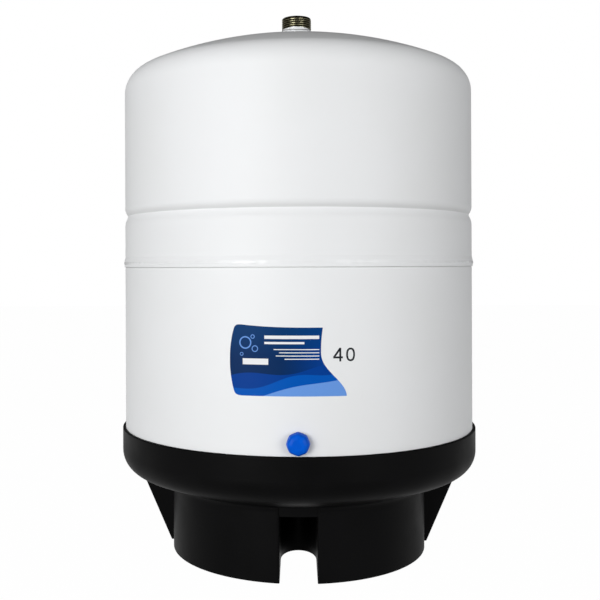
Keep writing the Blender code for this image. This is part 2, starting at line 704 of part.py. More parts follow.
def label_outline():
    """The sticker from the front: its left edge bowed, its right end swept out at the foot, its top curved."""
    foot = SEAM_Z - LABEL_FOOT_DROP
    top_left = SEAM_Z - LABEL_TOP_LEFT_DROP
    top_right = SEAM_Z - LABEL_TOP_RIGHT_DROP
    points = []
    for i in range(LABEL_CURVE_STEPS + 1):
        share = i / LABEL_CURVE_STEPS
        across = LABEL_CORNER + (LABEL_LEFT - LABEL_CORNER) * sin(pi * share) ** 0.6
        points.append((across, top_left + (foot - top_left) * share))
    for i in range(LABEL_CURVE_STEPS + 1):
        share = i / LABEL_CURVE_STEPS
        blend = (1 + cos(pi * min(share / LABEL_SWEEP, 1))) / 2
        rest = max(0, share - LABEL_SWEEP) / (1 - LABEL_SWEEP)
        across = LABEL_WAIST + (LABEL_FOOT_RIGHT - LABEL_WAIST) * blend**1.15
        across += (LABEL_TOP_RIGHT - LABEL_WAIST) * rest**2
        points.append((across, foot + (top_right - foot) * share))
    for i in range(1, LABEL_TOP_STEPS):
        share = i / LABEL_TOP_STEPS
        across = LABEL_TOP_RIGHT + (LABEL_CORNER - LABEL_TOP_RIGHT) * share
        points.append((across, top_right + (top_left - top_right) * share**3))
    return points


def build_label():
    """A thin curved sheet on the lower shell, cut to its outline."""
    low = TANK_RADIUS + GAP
    high = low + LABEL_THICKNESS
    loop = ring_loop(low, high, SEAM_Z - LABEL_FOOT_DROP - SHEET, SEAM_Z - LABEL_TOP_LEFT_DROP + SHEET)
    sheet = turned("label", loop, 2 * TANK_STEPS, LABEL_FILM)
    upright = Matrix.Rotation(pi / 2, 4, "X")
    cutter = flat_solid("label_outline", label_outline(), TANK_RADIUS / 2, 2 * TANK_RADIUS, None, upright)
    boolean(sheet, cutter, "INTERSECT")


clear_scene()
PARTS = new_collection("reverse_osmosis_tank")
CUTTERS = new_collection("cutters")
VALVE_AXIS = bpy.data.objects.new("valve_axis", None)
VALVE_AXIS.location.z = VALVE_Z
VALVE_AXIS.rotation_euler.x = pi / 2
PARTS.objects.link(VALVE_AXIS)

build_upper_shell()
build_lower_shell(VALVE_AXIS)
build_water_connection()
build_connection_o_ring()
build_liner()
build_diaphragm()
build_clench_ring()
build_base_stand()
build_valve_stem(VALVE_AXIS)
build_valve_core(VALVE_AXIS)
build_valve_cap(VALVE_AXIS)
build_label()
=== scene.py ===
"""Looks of the reverse osmosis storage tank: painted shells, threaded connection, moulded stand, sticker and cap.

Metres, in the frame of the CAD part: +Z up, the floor at z = 0, the front at -Y. Each class builds one
sub-assembly from surfaces worked out with numpy, and dresses it.
"""

import logging
from dataclasses import dataclass, field
from enum import Enum
from functools import reduce
from math import asin, cos, pi, radians, sin, sqrt, tan

import bpy
import numpy as np
from mathutils import Matrix, Vector


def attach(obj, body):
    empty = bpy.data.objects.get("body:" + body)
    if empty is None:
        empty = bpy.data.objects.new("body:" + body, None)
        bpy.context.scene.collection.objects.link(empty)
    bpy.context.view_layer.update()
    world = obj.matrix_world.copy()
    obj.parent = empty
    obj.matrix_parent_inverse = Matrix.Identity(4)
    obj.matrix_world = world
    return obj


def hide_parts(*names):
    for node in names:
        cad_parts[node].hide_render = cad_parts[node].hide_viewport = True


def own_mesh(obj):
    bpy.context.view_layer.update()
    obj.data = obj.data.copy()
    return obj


LOG = logging.getLogger("tank")
MM = 0.001
SHELL_RADIUS = 190 * MM
CROWN_RADIUS = 430 * MM
SEAM = 306.4 * MM
GROOVE = 361.4 * MM
STUB_TOP = 583.03 * MM
THREAD_PITCH = 2.3 * MM
VALVE_HEIGHT = 146.2 * MM
UV_UNIT = 100 * MM
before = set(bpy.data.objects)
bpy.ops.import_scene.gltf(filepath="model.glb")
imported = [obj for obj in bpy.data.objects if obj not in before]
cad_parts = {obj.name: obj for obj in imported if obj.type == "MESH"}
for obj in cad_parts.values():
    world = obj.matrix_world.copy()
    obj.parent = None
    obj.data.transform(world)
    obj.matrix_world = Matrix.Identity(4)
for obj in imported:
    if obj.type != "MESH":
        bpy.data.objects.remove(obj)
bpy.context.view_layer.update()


# Surfaces


def grid_faces(rows: int, columns: int, loop_rows: bool, loop_columns: bool) -> np.ndarray:
    """Quads that join a grid of points, each turned so that rows x columns gives the outward side.

    Args:
        rows: number of rows of points.
        columns: number of columns of points.
        loop_rows: whether the last row joins the first.
        loop_columns: whether the last column joins the first.

    Returns:
        An array of (quads, 4) point numbers.
    """
    i = np.arange(rows if loop_rows else rows - 1)[:, None]
    j = np.arange(columns if loop_columns else columns - 1)[None, :]
    below = (i + 1) % rows
    beside = (j + 1) % columns
    corners = (i * columns + j, below * columns + j, below * columns + beside, i * columns + beside)
    return np.stack([np.broadcast_to(c, (len(i), j.shape[1])) for c in corners], axis=-1).reshape(-1, 4)


def new_piece(name: str, points: np.ndarray, faces: list) -> bpy.types.Object:
    """Makes a smooth mesh object from points and faces.

    Args:
        name: the piece's name.
        points: (n, 3) positions in metres.
        faces: lists of point numbers.

    Returns:
        The linked object, at the origin.
    """
    mesh = bpy.data.meshes.new(name)
    mesh.from_pydata(points.reshape(-1, 3).tolist(), [], faces)
    mesh.shade_smooth()
    mesh.validate()
    piece = bpy.data.objects.new(name, mesh)
    bpy.context.scene.collection.objects.link(piece)
    return piece


def surface(name: str, points: np.ndarray, loop_rows: bool = False, loop_columns: bool = False,
            poles: bool = False, ends: bool = False) -> bpy.types.Object:
    """Makes a piece from a grid of points.

    Args:
        name: the piece's name.
        points: (rows, columns, 3) positions.
        loop_rows: whether the last row joins the first.
        loop_columns: whether the last column joins the first.
        poles: whether the first and last rows are closed with fans to their middle points.
        ends: whether a flattened loop of rows is closed with strips at its first and last columns.

    Returns:
        The linked object.
    """
    rows, columns = points.shape[:2]
    faces = grid_faces(rows, columns, loop_rows, loop_columns).tolist()
    flat = points.reshape(-1, 3)
    if poles:
        flat = np.vstack([flat, points[0].mean(axis=0), points[-1].mean(axis=0)])
        top, foot, last = len(flat) - 2, len(flat) - 1, (rows - 1) * columns
        turn = [(j, (j + 1) % columns) for j in range(columns)]
        faces += [[top, a, b] for a, b in turn]
        faces += [[foot, last + b, last + a] for a, b in turn]
    if ends:
        i = np.arange(rows // 2 - 1)
        strip = np.stack([i, i + 1, rows - 2 - i, rows - 1 - i], axis=-1) * columns
        faces += strip.tolist() + (strip[:, ::-1] + columns - 1).tolist()
    return new_piece(name, flat, faces)


def angles(count: int) -> np.ndarray:
    """Angles of the columns of a turned surface, once round."""
    return np.linspace(0, 2 * pi, count, endpoint=False)


def turned(profile: np.ndarray, count: int) -> np.ndarray:
    """Turns a profile about Z: (r cos a, r sin a, z) for each angle a.

    Args:
        profile: (rows, 2) radii and heights, running down the outer side.
        count: number of columns round the axis.

    Returns:
        (rows, count, 3) points.
    """
    a = angles(count)[None, :]
    r, z = profile[:, :1], profile[:, 1:]
    return np.stack([r * np.cos(a), r * np.sin(a), z + 0 * a], axis=-1)


def turned_solid(name: str, profile: np.ndarray, count: int, closed: bool = False) -> bpy.types.Object:
    """A turned piece whose profile is a closed loop, or else is closed at the axis with poles."""
    return surface(name, turned(profile, count), loop_rows=closed, loop_columns=True, poles=not closed)


def pushed(points: np.ndarray, rise: np.ndarray) -> np.ndarray:
    """The points moved away from the Z axis by the distance in rise, along (x, y) / r."""
    scale = 1 + rise / np.hypot(points[..., 0], points[..., 1])
    return points * np.stack([scale, scale, np.ones_like(scale)], axis=-1)


def bent_sheet(name: str, low: float, high: float, azimuth: np.ndarray, z: np.ndarray,
               closed: bool = False) -> bpy.types.Object:
    """A sheet bent round the Z axis: (r sin a, -r cos a, z), the azimuth a counted from the front.

    Args:
        name: the piece's name.
        low: radius of its inner side.
        high: radius of its outer side.
        azimuth: (rows, columns) angles.
        z: (rows, columns) heights.
        closed: whether the last column joins the first.

    Returns:
        The linked object, its inner rows first.
    """
    under, over = (np.stack([r * np.sin(azimuth), -r * np.cos(azimuth), z], axis=-1) for r in (low, high))
    points = np.concatenate([under, over[::-1]])
    return surface(name, points, loop_rows=True, loop_columns=closed, ends=not closed)


def arc(centre: tuple, radius: float, start: float, end: float, count: int) -> np.ndarray:
    """Points of an arc: centre + radius (cos t, sin t), with t running from start to end."""
    t = np.linspace(start, end, count)
    return np.stack([centre[0] + radius * np.cos(t), centre[1] + radius * np.sin(t)], axis=-1)


def filleted(corners: list, per_fillet: int = 7, closed: bool = False) -> np.ndarray:
    """A line of (r, z, fillet) corners with each fillet drawn as an arc tangent to both sides.

    Args:
        corners: the corners, each with its fillet radius, 0 for a sharp one.
        per_fillet: number of points in each arc.
        closed: whether the last corner joins the first.

    Returns:
        (points, 2) array of the line.
    """
    parts = []
    count = len(corners)
    for i, (r, z, fillet) in enumerate(corners):
        if fillet == 0 or (not closed and i in (0, count - 1)):
            parts.append(np.array([[r, z]]))
            continue
        corner = Vector((r, z))
        back = (Vector(corners[i - 1][:2]) - corner).normalized()
        on = (Vector(corners[(i + 1) % count][:2]) - corner).normalized()
        half = back.angle(on) / 2
        centre = corner + (back + on).normalized() * fillet / sin(half)
        first = corner + back * fillet / tan(half) - centre
        last = corner + on * fillet / tan(half) - centre
        start = np.arctan2(first.y, first.x)
        turn = (np.arctan2(last.y, last.x) - start + pi) % (2 * pi) - pi
        parts.append(arc(tuple(centre), fillet, start, start + turn, per_fillet))
    return np.vstack(parts)


def supported(line: np.ndarray, longest: float, closed: bool = False) -> np.ndarray:
    """The line with its long straight stretches cut up, so that smooth shading stays flat there.

    Args:
        line: (points, 2) array.
        longest: the longest stretch that is left whole, in metres.
        closed: whether the last point joins the first.

    Returns:
        The line with points added.
    """
    ends = np.vstack([line, line[:1]]) if closed else line
    parts = []
    for a, b in zip(ends, ends[1:]):
        length = float(np.hypot(*(b - a)))
        shares = [0.0]
        if length > longest:
            inner = np.linspace(0, 1, int(length / longest) + 2)[1:-1]
            near = 0.12 * longest / length
            shares = [0.0, near, *inner, 1 - near]
        parts.append(a + (b - a) * np.array(shares)[:, None])
    return np.vstack(parts + ([] if closed else [ends[-1:]]))


def inset(line: np.ndarray, distance: float) -> np.ndarray:
    """The line moved to its right-hand side, along the mean normal of the stretches at each point.

    Args:
        line: (points, 2) array.
        distance: how far it moves.

    Returns:
        The moved line.
    """
    step = np.diff(line, axis=0)
    step /= np.hypot(step[:, 0], step[:, 1])[:, None]
    side = np.stack([step[:, 1], -step[:, 0]], axis=-1)
    before = np.vstack([side[:1], side])
    after = np.vstack([side, side[-1:]])
    scale = distance / (1 + (before * after).sum(axis=1))
    return line + (before + after) * scale[:, None]


def ripples(a: np.ndarray, seed: int, lowest: int, highest: int, waves: int = 14) -> np.ndarray:
    """A sum of sine waves round the axis, each with a whole number of waves, scaled to about -1 to 1.

    Args:
        a: angles.
        seed: of the random draw of phases and wave numbers.
        lowest: fewest waves round.
        highest: most waves round.
        waves: how many sines are added.

    Returns:
        The sum at each angle.
    """
    draw = np.random.default_rng(seed)
    total = np.zeros_like(a)
    for _ in range(waves):
        total = total + np.sin(draw.integers(lowest, highest) * a + draw.uniform(0, 2 * pi))
    return total / sqrt(waves)


def baked(piece: bpy.types.Object, sharp: float = radians(40)) -> bpy.types.Object:
    """Applies a piece's modifiers to its mesh, and marks the edges over the sharp angle.

    Args:
        piece: the object with modifiers.
        sharp: the angle past which an edge is drawn crisp.

    Returns:
        The same object, with no modifiers left.
    """
    graph = bpy.context.evaluated_depsgraph_get()
    mesh = bpy.data.meshes.new_from_object(piece.evaluated_get(graph))
    piece.modifiers.clear()
    piece.data = mesh
    mesh.name = piece.name
    mesh.shade_smooth()
    mesh.set_sharp_from_angle(angle=sharp)
    return piece


class Cut(Enum):
    """How a helper solid changes a piece."""

    ADD = "UNION"
    REMOVE = "DIFFERENCE"


def combine(piece: bpy.types.Object, helpers: list) -> None:
    """Joins or cuts a piece with helper solids, applies the result and deletes the helpers.

    Args:
        piece: the piece to change.
        helpers: (helper object, Cut) pairs, in order.
    """
    for helper, cut in helpers:
        modifier = piece.modifiers.new(helper.name, "BOOLEAN")
        modifier.operation = cut.value
        modifier.solver = "EXACT"
        modifier.object = helper
    baked(piece)
    for helper, _ in helpers:
        bpy.data.objects.remove(helper)


def plate(name: str, outline: np.ndarray, low: float, high: float, place: Matrix = Matrix()) -> bpy.types.Object:
    """A flat solid with an outline of (x, y) points, from low to high along its Z, turned by a matrix.

    Args:
        name: the helper's name.
        outline: (points, 2) array, counter-clockwise.
        low: its lower height.
        high: its upper height.
        place: matrix applied to the points.

    Returns:
        The object.
    """
    count = len(outline)
    heights = np.repeat([low, high], count)
    points = np.column_stack([np.tile(outline, (2, 1)), heights, np.ones(2 * count)]) @ np.array(place).T
    sides = [[j, (j + 1) % count, count + (j + 1) % count, count + j] for j in range(count)]
    ends = [list(range(count))[::-1], list(range(count, 2 * count))]
    return new_piece(name, points[:, :3], sides + ends)


# Finishes


class Wiring:
    """A short way to place and join the nodes of one tree. A finish keeps its shader and slow tone here."""

    def __init__(self, tree: bpy.types.NodeTree) -> None:
        """Keeps the tree."""
        self.tree = tree
        self.shader = self.tone = None

    @classmethod
    def of(cls, owner: bpy.types.Material | bpy.types.World) -> "Wiring":
        """The wiring of a material or world whose nodes have been cleared away.

        Args:
            owner: the material or world.

        Returns:
            The wiring.
        """
        owner.use_nodes = True
        owner.node_tree.nodes.clear()
        return cls(owner.node_tree)

    def node(self, kind: str, inputs: dict | None = None, **settings: object) -> bpy.types.Node:
        """Adds a node, and sets or links its inputs.

        Args:
            kind: the node's type name without ShaderNode.
            inputs: input name or number to a constant or an output socket.
            **settings: attributes of the node.

        Returns:
            The node.
        """
        made = self.tree.nodes.new(kind if kind.startswith("Node") else "ShaderNode" + kind)
        for key, value in settings.items():
            setattr(made, key, value)
        for key, value in (inputs or {}).items():
            if isinstance(value, bpy.types.NodeSocket):
                self.tree.links.new(value, made.inputs[key])
            else:
                made.inputs[key].default_value = value
        return made

    def feed(self, name: str, value: bpy.types.NodeSocket) -> None:
        """Links a value to an input of the shader."""
        self.tree.links.new(value, self.shader.inputs[name])

    def place(self) -> bpy.types.NodeSocket:
        """The Object coordinates."""
        return self.node("TexCoord").outputs["Object"]

    def axes(self, vector: bpy.types.NodeSocket) -> list:
        """The three parts of a vector."""
        return list(self.node("SeparateXYZ", {0: vector}).outputs)

    def math(self, operation: str, *values: object) -> bpy.types.NodeSocket:
        """The output of a Math node on constants or sockets."""
        return self.node("Math", dict(enumerate(values)), operation=operation).outputs[0]

    def product(self, *values: object) -> bpy.types.NodeSocket:
        """All the values multiplied."""
        return reduce(lambda a, b: self.math("MULTIPLY", a, b), values)

    def total(self, *values: object) -> bpy.types.NodeSocket:
        """All the values added."""
        return reduce(lambda a, b: self.math("ADD", a, b), values)

    def gap(self, a: object, b: object) -> bpy.types.NodeSocket:
        """How far a and b lie apart."""
        return self.math("ABSOLUTE", self.math("SUBTRACT", a, b))

    def mix(self, factor: object, a: object, b: object) -> bpy.types.NodeSocket:
        """A colour between a and b, each a socket or a colour of three numbers."""
        a, b = (c if isinstance(c, bpy.types.NodeSocket) else (*c, 1) for c in (a, b))
        return self.node("Mix", {0: factor, 6: a, 7: b}, data_type="RGBA").outputs[2]

    def ramp(self, value: object, low: float, high: float, start: float = 0.0,
             end: float = 1.0) -> bpy.types.NodeSocket:
        """The value mapped from low..high to start..end with a smooth step."""
        inputs = {0: value, 1: low, 2: high, 3: start, 4: end}
        return self.node("MapRange", inputs, interpolation_type="SMOOTHSTEP").outputs[0]

    def band(self, value: object, rise: tuple, fall: tuple) -> bpy.types.NodeSocket:
        """A mask that comes in over the first pair of values and goes out over the second."""
        return self.product(self.ramp(value, *rise), self.ramp(value, *fall))

    def between(self, value: object, low: float, high: float, soft: float) -> bpy.types.NodeSocket:
        """A mask of low..high with softened ends."""
        return self.band(value, (low - soft, low + soft), (high + soft, high - soft))


def grain_group() -> bpy.types.NodeTree:
    """The shared effect of a fine surface grain and of a slow change of tone.

    Returns:
        A group with inputs Grain Scale and Tone Scale, and outputs Height and Tone.
    """
    name = "surface_grain"
    if name in bpy.data.node_groups:
        return bpy.data.node_groups[name]
    group = bpy.data.node_groups.new(name, "ShaderNodeTree")
    for socket, way in (("Grain Scale", "INPUT"), ("Tone Scale", "INPUT"), ("Height", "OUTPUT"), ("Tone", "OUTPUT")):
        group.interface.new_socket(socket, in_out=way, socket_type="NodeSocketFloat")
    wire = Wiring(group)
    given, place = wire.node("NodeGroupInput").outputs, wire.place()
    fine = wire.node("TexNoise", {"Vector": place, "Scale": given["Grain Scale"], "Detail": 3.0})
    slow = wire.node("TexNoise", {"Vector": place, "Scale": given["Tone Scale"], "Detail": 4.0})
    wire.node("NodeGroupOutput", {"Height": fine.outputs["Fac"], "Tone": slow.outputs["Fac"]})
    return group


@dataclass(frozen=True)
class Finish:
    """A plain finish: two close colours mixed by a slow tone, a fine grain and a varied roughness."""

    name: str
    colour: tuple
    shade: tuple
    rough: tuple = (0.4, 0.5)
    metallic: float = 0.0
    specular: float = 0.5
    grain_scale: float = 900.0
    grain_height: float = 0.02 * MM
    tone_scale: float = 12.0
    tone_range: tuple = (0.3, 0.7)

    def detail(self, wire: Wiring) -> None:
        """Adds what only this finish has. A plain finish has nothing more."""

    def material(self) -> bpy.types.Material:
        """The finish as a material, built once.

        Returns:
            The material.
        """
        name = "look_" + self.name
        if name in bpy.data.materials:
            return bpy.data.materials[name]
        made = bpy.data.materials.new(name)
        wire = Wiring.of(made)
        scales = {"Grain Scale": self.grain_scale, "Tone Scale": self.tone_scale}
        grain = wire.node("Group", scales, node_tree=grain_group()).outputs
        bump = wire.node("Bump", {"Height": grain["Height"], "Distance": self.grain_height, "Strength": 1.0})
        wire.tone = wire.ramp(grain["Tone"], *self.tone_range)
        wire.shader = wire.node("BsdfPrincipled", {
            "Base Color": wire.mix(wire.tone, self.colour, self.shade),
            "Roughness": wire.ramp(grain["Tone"], *self.tone_range, *self.rough),
            "Metallic": self.metallic,
            "Specular IOR Level": self.specular,
            "Normal": bump.outputs[0],
        })
        self.detail(wire)
        wire.node("OutputMaterial", {"Surface": wire.shader.outputs[0]})
        made.diffuse_color = (*self.colour, 1)
        return made


@dataclass(frozen=True)
class ShellPaint(Finish):
    """White paint on steel, with painted shade under the seam's lip and over the groove, a painted highlight under the
    groove's crease, and a glossier weld ridge.
    """

    seam: float = SEAM
    groove: float = GROOVE
    ridge: float = 4.3 * MM
    ridge_rough: float = 0.24
    # The first colour below is painted shade, the second a painted highlight; the shares set how much of each shows.
    shade_colour: tuple = (0.42, 0.42, 0.41)
    highlight_colour: tuple = (0.87, 0.88, 0.89)
    lip_shade_share: float = 0.6
    groove_shade_share: float = 0.38
    highlight_share: float = 0.5

    def detail(self, wire: Wiring) -> None:
        """Paints shade under the seam's lip and over the groove's crease, and a painted highlight just under the
        crease.

        Args:
            wire: the material's wiring.
        """
        height = wire.axes(wire.place())[2]
        rise = wire.math("SUBTRACT", height, self.groove)
        # Painted shade: a dark band just under the seam's lip, where the lap's edge shades the shell.
        lip = wire.band(wire.math("SUBTRACT", self.seam, height), (-0.1 * MM, 0.1 * MM), (1.1 * MM, 0.3 * MM))
        # Painted shade: darkening over the groove's crease, strongest at the crease.
        over = wire.band(rise, (-0.3 * MM, 0.1 * MM), (7.0 * MM, 0.4 * MM))
        # Painted highlight: a lighter band just under the groove's crease.
        under = wire.band(rise, (-8.0 * MM, -1.5 * MM), (-0.2 * MM, -0.6 * MM))
        shade_amount = wire.total(wire.product(lip, self.lip_shade_share), wire.product(over, over, self.groove_shade_share))
        lit_paint = wire.mix(wire.tone, self.colour, self.shade)
        lit_paint = wire.mix(wire.product(under, self.highlight_share), lit_paint, self.highlight_colour)
        # The painted shade is mixed into the paint by its amount.
        wire.feed("Base Color", wire.mix(shade_amount, lit_paint, self.shade_colour))
        off = wire.gap(height, self.seam + self.ridge)
        wire.feed("Roughness", wire.ramp(off, 1.2 * MM, 1.9 * MM, self.ridge_rough, self.rough[1]))


@dataclass(frozen=True)
class OverpaintedMetal(Finish):
    """Plated thread metal with painted shade in its thread roots and round its top, whose foot wears the shell's white
    paint, crossed near the foot by a painted shadow line.
    """

    paint: tuple = (0.79, 0.80, 0.81)
    paint_rough: float = 0.34
    # Painted shade for the thread roots and the top rim.
    root_and_top_shade: tuple = (0.045, 0.038, 0.020)
    # Painted shadow line near the foot, and how strongly it shows.
    joint: tuple = (0.12, 0.12, 0.12)
    joint_shadow_share: float = 0.75
    side: float = 16 * MM
    edge: float = 571.0 * MM
    edge_dip: float = 1.0 * MM
    edge_wander: float = 1.6 * MM
    # Height of the painted shadow line at the front, and how far it rises to the sides.
    line: float = 567.5 * MM
    shadow_line_rise: float = 2.1 * MM
    top: float = STUB_TOP
    pitch: float = THREAD_PITCH

    def detail(self, wire: Wiring) -> None:
        """Mixes metal and paint where the height passes an edge that wanders round the stub.

        Args:
            wire: the material's wiring.
        """
        place = wire.place()
        x, y, z = wire.axes(place)
        across = wire.product(x, x, 1 / self.side**2)
        noise = wire.node("TexNoise", {"Vector": place, "Scale": 260.0, "Detail": 2.0}).outputs["Fac"]
        wander = wire.product(wire.math("SUBTRACT", noise, 0.5), self.edge_wander)
        over = wire.math("SUBTRACT", z, wire.total(wire.product(across, -self.edge_dip), wander, self.edge))
        metal = wire.ramp(over, -0.12 * MM, 0.12 * MM)
        turn = wire.math("DIVIDE", wire.math("ARCTAN2", y, x), 2 * pi)
        phase = wire.math("FRACT", wire.math("SUBTRACT", wire.math("DIVIDE", z, self.pitch), turn))
        # Painted shade in the thread's roots.
        root_shade_mask = wire.ramp(wire.gap(wire.product(phase, 2.0), 1.0), 0.42, 0.70)
        # Painted shade round the top rim.
        rim = wire.ramp(z, self.top - 1.3 * MM, self.top - 1.0 * MM)
        plated_and_shaded = wire.mix(wire.math("MAXIMUM", root_shade_mask, rim), wire.mix(wire.tone, self.colour, self.shade), self.root_and_top_shade)
        # Painted shadow line near the foot, rising to the sides.
        off = wire.gap(z, wire.total(wire.product(across, self.shadow_line_rise), self.line))
        paint_and_shadow_line = wire.mix(wire.ramp(off, 0.75 * MM, 0.40 * MM, 0.0, self.joint_shadow_share), self.paint, self.joint)
        wire.feed("Base Color", wire.mix(metal, paint_and_shadow_line, plated_and_shaded))
        wire.feed("Metallic", metal)
        wire.feed("Roughness", wire.ramp(over, -0.12 * MM, 0.12 * MM, self.paint_rough, self.rough[0]))


@dataclass(frozen=True)
class LabelPrint(Finish):
    """The sticker's print: a white margin, a blue field, waves, rings, plain rules and a blank panel.

    The UV map gives the place on the film in units of 100 mm, and the attribute rim the distance to its edge.
    """

    white: tuple = (0.80, 0.81, 0.82)
    band: tuple = (0.001, 0.044, 0.264)
    mid: tuple = (0.001, 0.086, 0.43)
    light: tuple = (0.133, 0.30, 0.71)
    soft: float = 0.0012
    margin: tuple = (0.25 * MM, 0.42 * MM)
    waves: tuple = ((0.165, 0.12, 0.030, 7.4, 0.6), (0.055, 0.18, 0.026, 8.9, 2.4), (-0.075, 0.24, 0.020, 6.1, 4.4))
    rings: tuple = ((0.155, 0.490, 0.052, 0.012), (0.246, 0.435, 0.026, 0.008), (0.225, 0.545, 0.016, 0.007),
                    (0.120, 0.385, 0.014, 0.006))
    bars: tuple = ((0.335, 0.835, 0.525, 0.556), (0.335, 0.700, 0.478, 0.498), (0.420, 0.835, 0.425, 0.433),
                   (0.470, 0.835, 0.396, 0.404), (0.440, 0.835, 0.367, 0.375), (0.520, 0.835, 0.338, 0.346),
                   (0.130, 0.370, 0.290, 0.345))

    def detail(self, wire: Wiring) -> None:
        """Lays the print over the film.

        A wave is all below level + slope u + swing sin(turns u + phase), a ring all within half a width of its
        radius from its centre, and a bar a box from left to right and from foot to top.

        Args:
            wire: the material's wiring.
        """
        place = wire.node("UVMap", uv_map="print").outputs[0]
        u, v, _ = wire.axes(place)
        ink = wire.mix(wire.ramp(u, 0.45, 1.0), self.colour, self.band)
        ink = wire.mix(wire.ramp(v, 0.30, 0.62, 0.0, 0.6), ink, self.shade)
        for (level, slope, swing, turns, phase), colour in zip(self.waves, (self.band, self.mid, self.light)):
            swell = wire.product(wire.math("SINE", wire.total(wire.product(u, turns), phase)), swing)
            over = wire.math("SUBTRACT", v, wire.total(swell, wire.product(u, slope), level))
            ink = wire.mix(wire.ramp(over, self.soft, -self.soft), ink, colour)
        for across, height, radius, width in self.rings:
            away = wire.node("VectorMath", {0: place, 1: (across, height, 0)}, operation="DISTANCE").outputs["Value"]
            off = wire.ramp(wire.gap(away, radius), width / 2 + self.soft, width / 2 - self.soft)
            ink = wire.mix(off, ink, self.light)
        for left, right, foot, top in self.bars:
            inside = wire.product(wire.between(u, left, right, self.soft), wire.between(v, foot, top, self.soft))
            ink = wire.mix(inside, ink, self.white)
        rim = wire.node("Attribute", attribute_name="rim").outputs["Fac"]
        wire.feed("Base Color", wire.mix(wire.ramp(rim, *self.margin), self.white, ink))


PAINT = ShellPaint("white_paint", (0.80, 0.81, 0.82), (0.785, 0.795, 0.80), (0.48, 0.52), specular=0.3,
                   grain_scale=420.0, grain_height=0.006 * MM, tone_scale=9.0)
CONNECTION_METAL = OverpaintedMetal("connection_metal", (0.37, 0.35, 0.23), (0.30, 0.28, 0.17), (0.28, 0.32),
                                    metallic=1.0, grain_scale=1500.0, grain_height=0.004 * MM, tone_scale=60.0)
STAND_PLASTIC = Finish("stand_plastic", (0.0018, 0.0018, 0.0019), (0.0026, 0.0026, 0.0028), (0.42, 0.52),
                       specular=0.04, grain_scale=1400.0, grain_height=0.03 * MM, tone_scale=20.0)
LABEL_FILM = LabelPrint("label_film", (0.002, 0.024, 0.098), (0.001, 0.045, 0.165), (0.36, 0.44), specular=0.04,
                        grain_scale=600.0, grain_height=0.004 * MM, tone_scale=30.0)
NUMBER_INK = Finish("number_ink", (0.012, 0.014, 0.018), (0.018, 0.020, 0.024), (0.4, 0.5), specular=0.1,
                    tone_scale=200.0)
CAP_PLASTIC = Finish("cap_plastic", (0.0, 0.105, 0.66), (0.0, 0.085, 0.56), (0.30, 0.40), specular=0.06,
                     grain_scale=1100.0, grain_height=0.012 * MM, tone_scale=120.0)
LINER_PLASTIC = Finish("liner_plastic", (0.66, 0.70, 0.72), (0.60, 0.65, 0.68), (0.45, 0.6), tone_scale=16.0)
BUTYL = Finish("butyl", (0.015, 0.015, 0.016), (0.024, 0.024, 0.025), (0.65, 0.8), grain_height=0.05 * MM)
PLATED_STEEL = Finish("plated_steel", (0.56, 0.57, 0.58), (0.46, 0.47, 0.49), (0.28, 0.42), metallic=1.0,
                      grain_scale=1300.0, grain_height=0.01 * MM, tone_scale=70.0)
TURNED_BRASS = Finish("turned_brass", (0.62, 0.45, 0.16), (0.50, 0.35, 0.12), (0.22, 0.34), metallic=1.0,
                      grain_scale=1800.0, grain_height=0.008 * MM, tone_scale=200.0)
SEAL_RUBBER = Finish("seal_rubber", (0.02, 0.02, 0.02), (0.03, 0.03, 0.03), (0.6, 0.75), tone_scale=150.0)
SEAL_PLASTIC = Finish("seal_plastic", (0.83, 0.83, 0.80), (0.76, 0.76, 0.72), (0.35, 0.45), tone_scale=200.0)
SPRING_WIRE = Finish("spring_wire", (0.50, 0.50, 0.52), (0.40, 0.40, 0.42), (0.25, 0.35), metallic=1.0)

CARRIED_OVER = {
    SEAL_RUBBER: ("connection_o_ring", "valve_gasket", "core_pin_washer", "cap_seal"),
    LINER_PLASTIC: ("chamber_liner",),
    BUTYL: ("diaphragm",),
    PLATED_STEEL: ("clench_ring", "valve_washer"),
    TURNED_BRASS: ("valve_stem", "valve_lock_nut", "valve_core_body", "core_pin"),
    SEAL_PLASTIC: ("valve_core_seal",),
    SPRING_WIRE: ("core_spring",),
}


def dress(piece: bpy.types.Object, finish: Finish) -> None:
    """Gives a piece its finish as its only material."""
    piece.data.materials.clear()
    piece.data.materials.append(finish.material())


def finish_piece(piece: bpy.types.Object, finish: Finish, body: str, slot: str, *nodes: str) -> None:
    """Dresses a new piece, makes it ride on its body and stand for its CAD nodes.

    Args:
        piece: the object.
        finish: its finish.
        body: the CAD body that carries it.
        slot: the record's material slot; not used.
        *nodes: the CAD nodes that it replaces.
    """
    dress(piece, finish)
    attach(piece, body)
    if nodes:
        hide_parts(*nodes)
    LOG.info("%s: %d faces on %s", piece.name, len(piece.data.polygons), body)


# Sub-assemblies


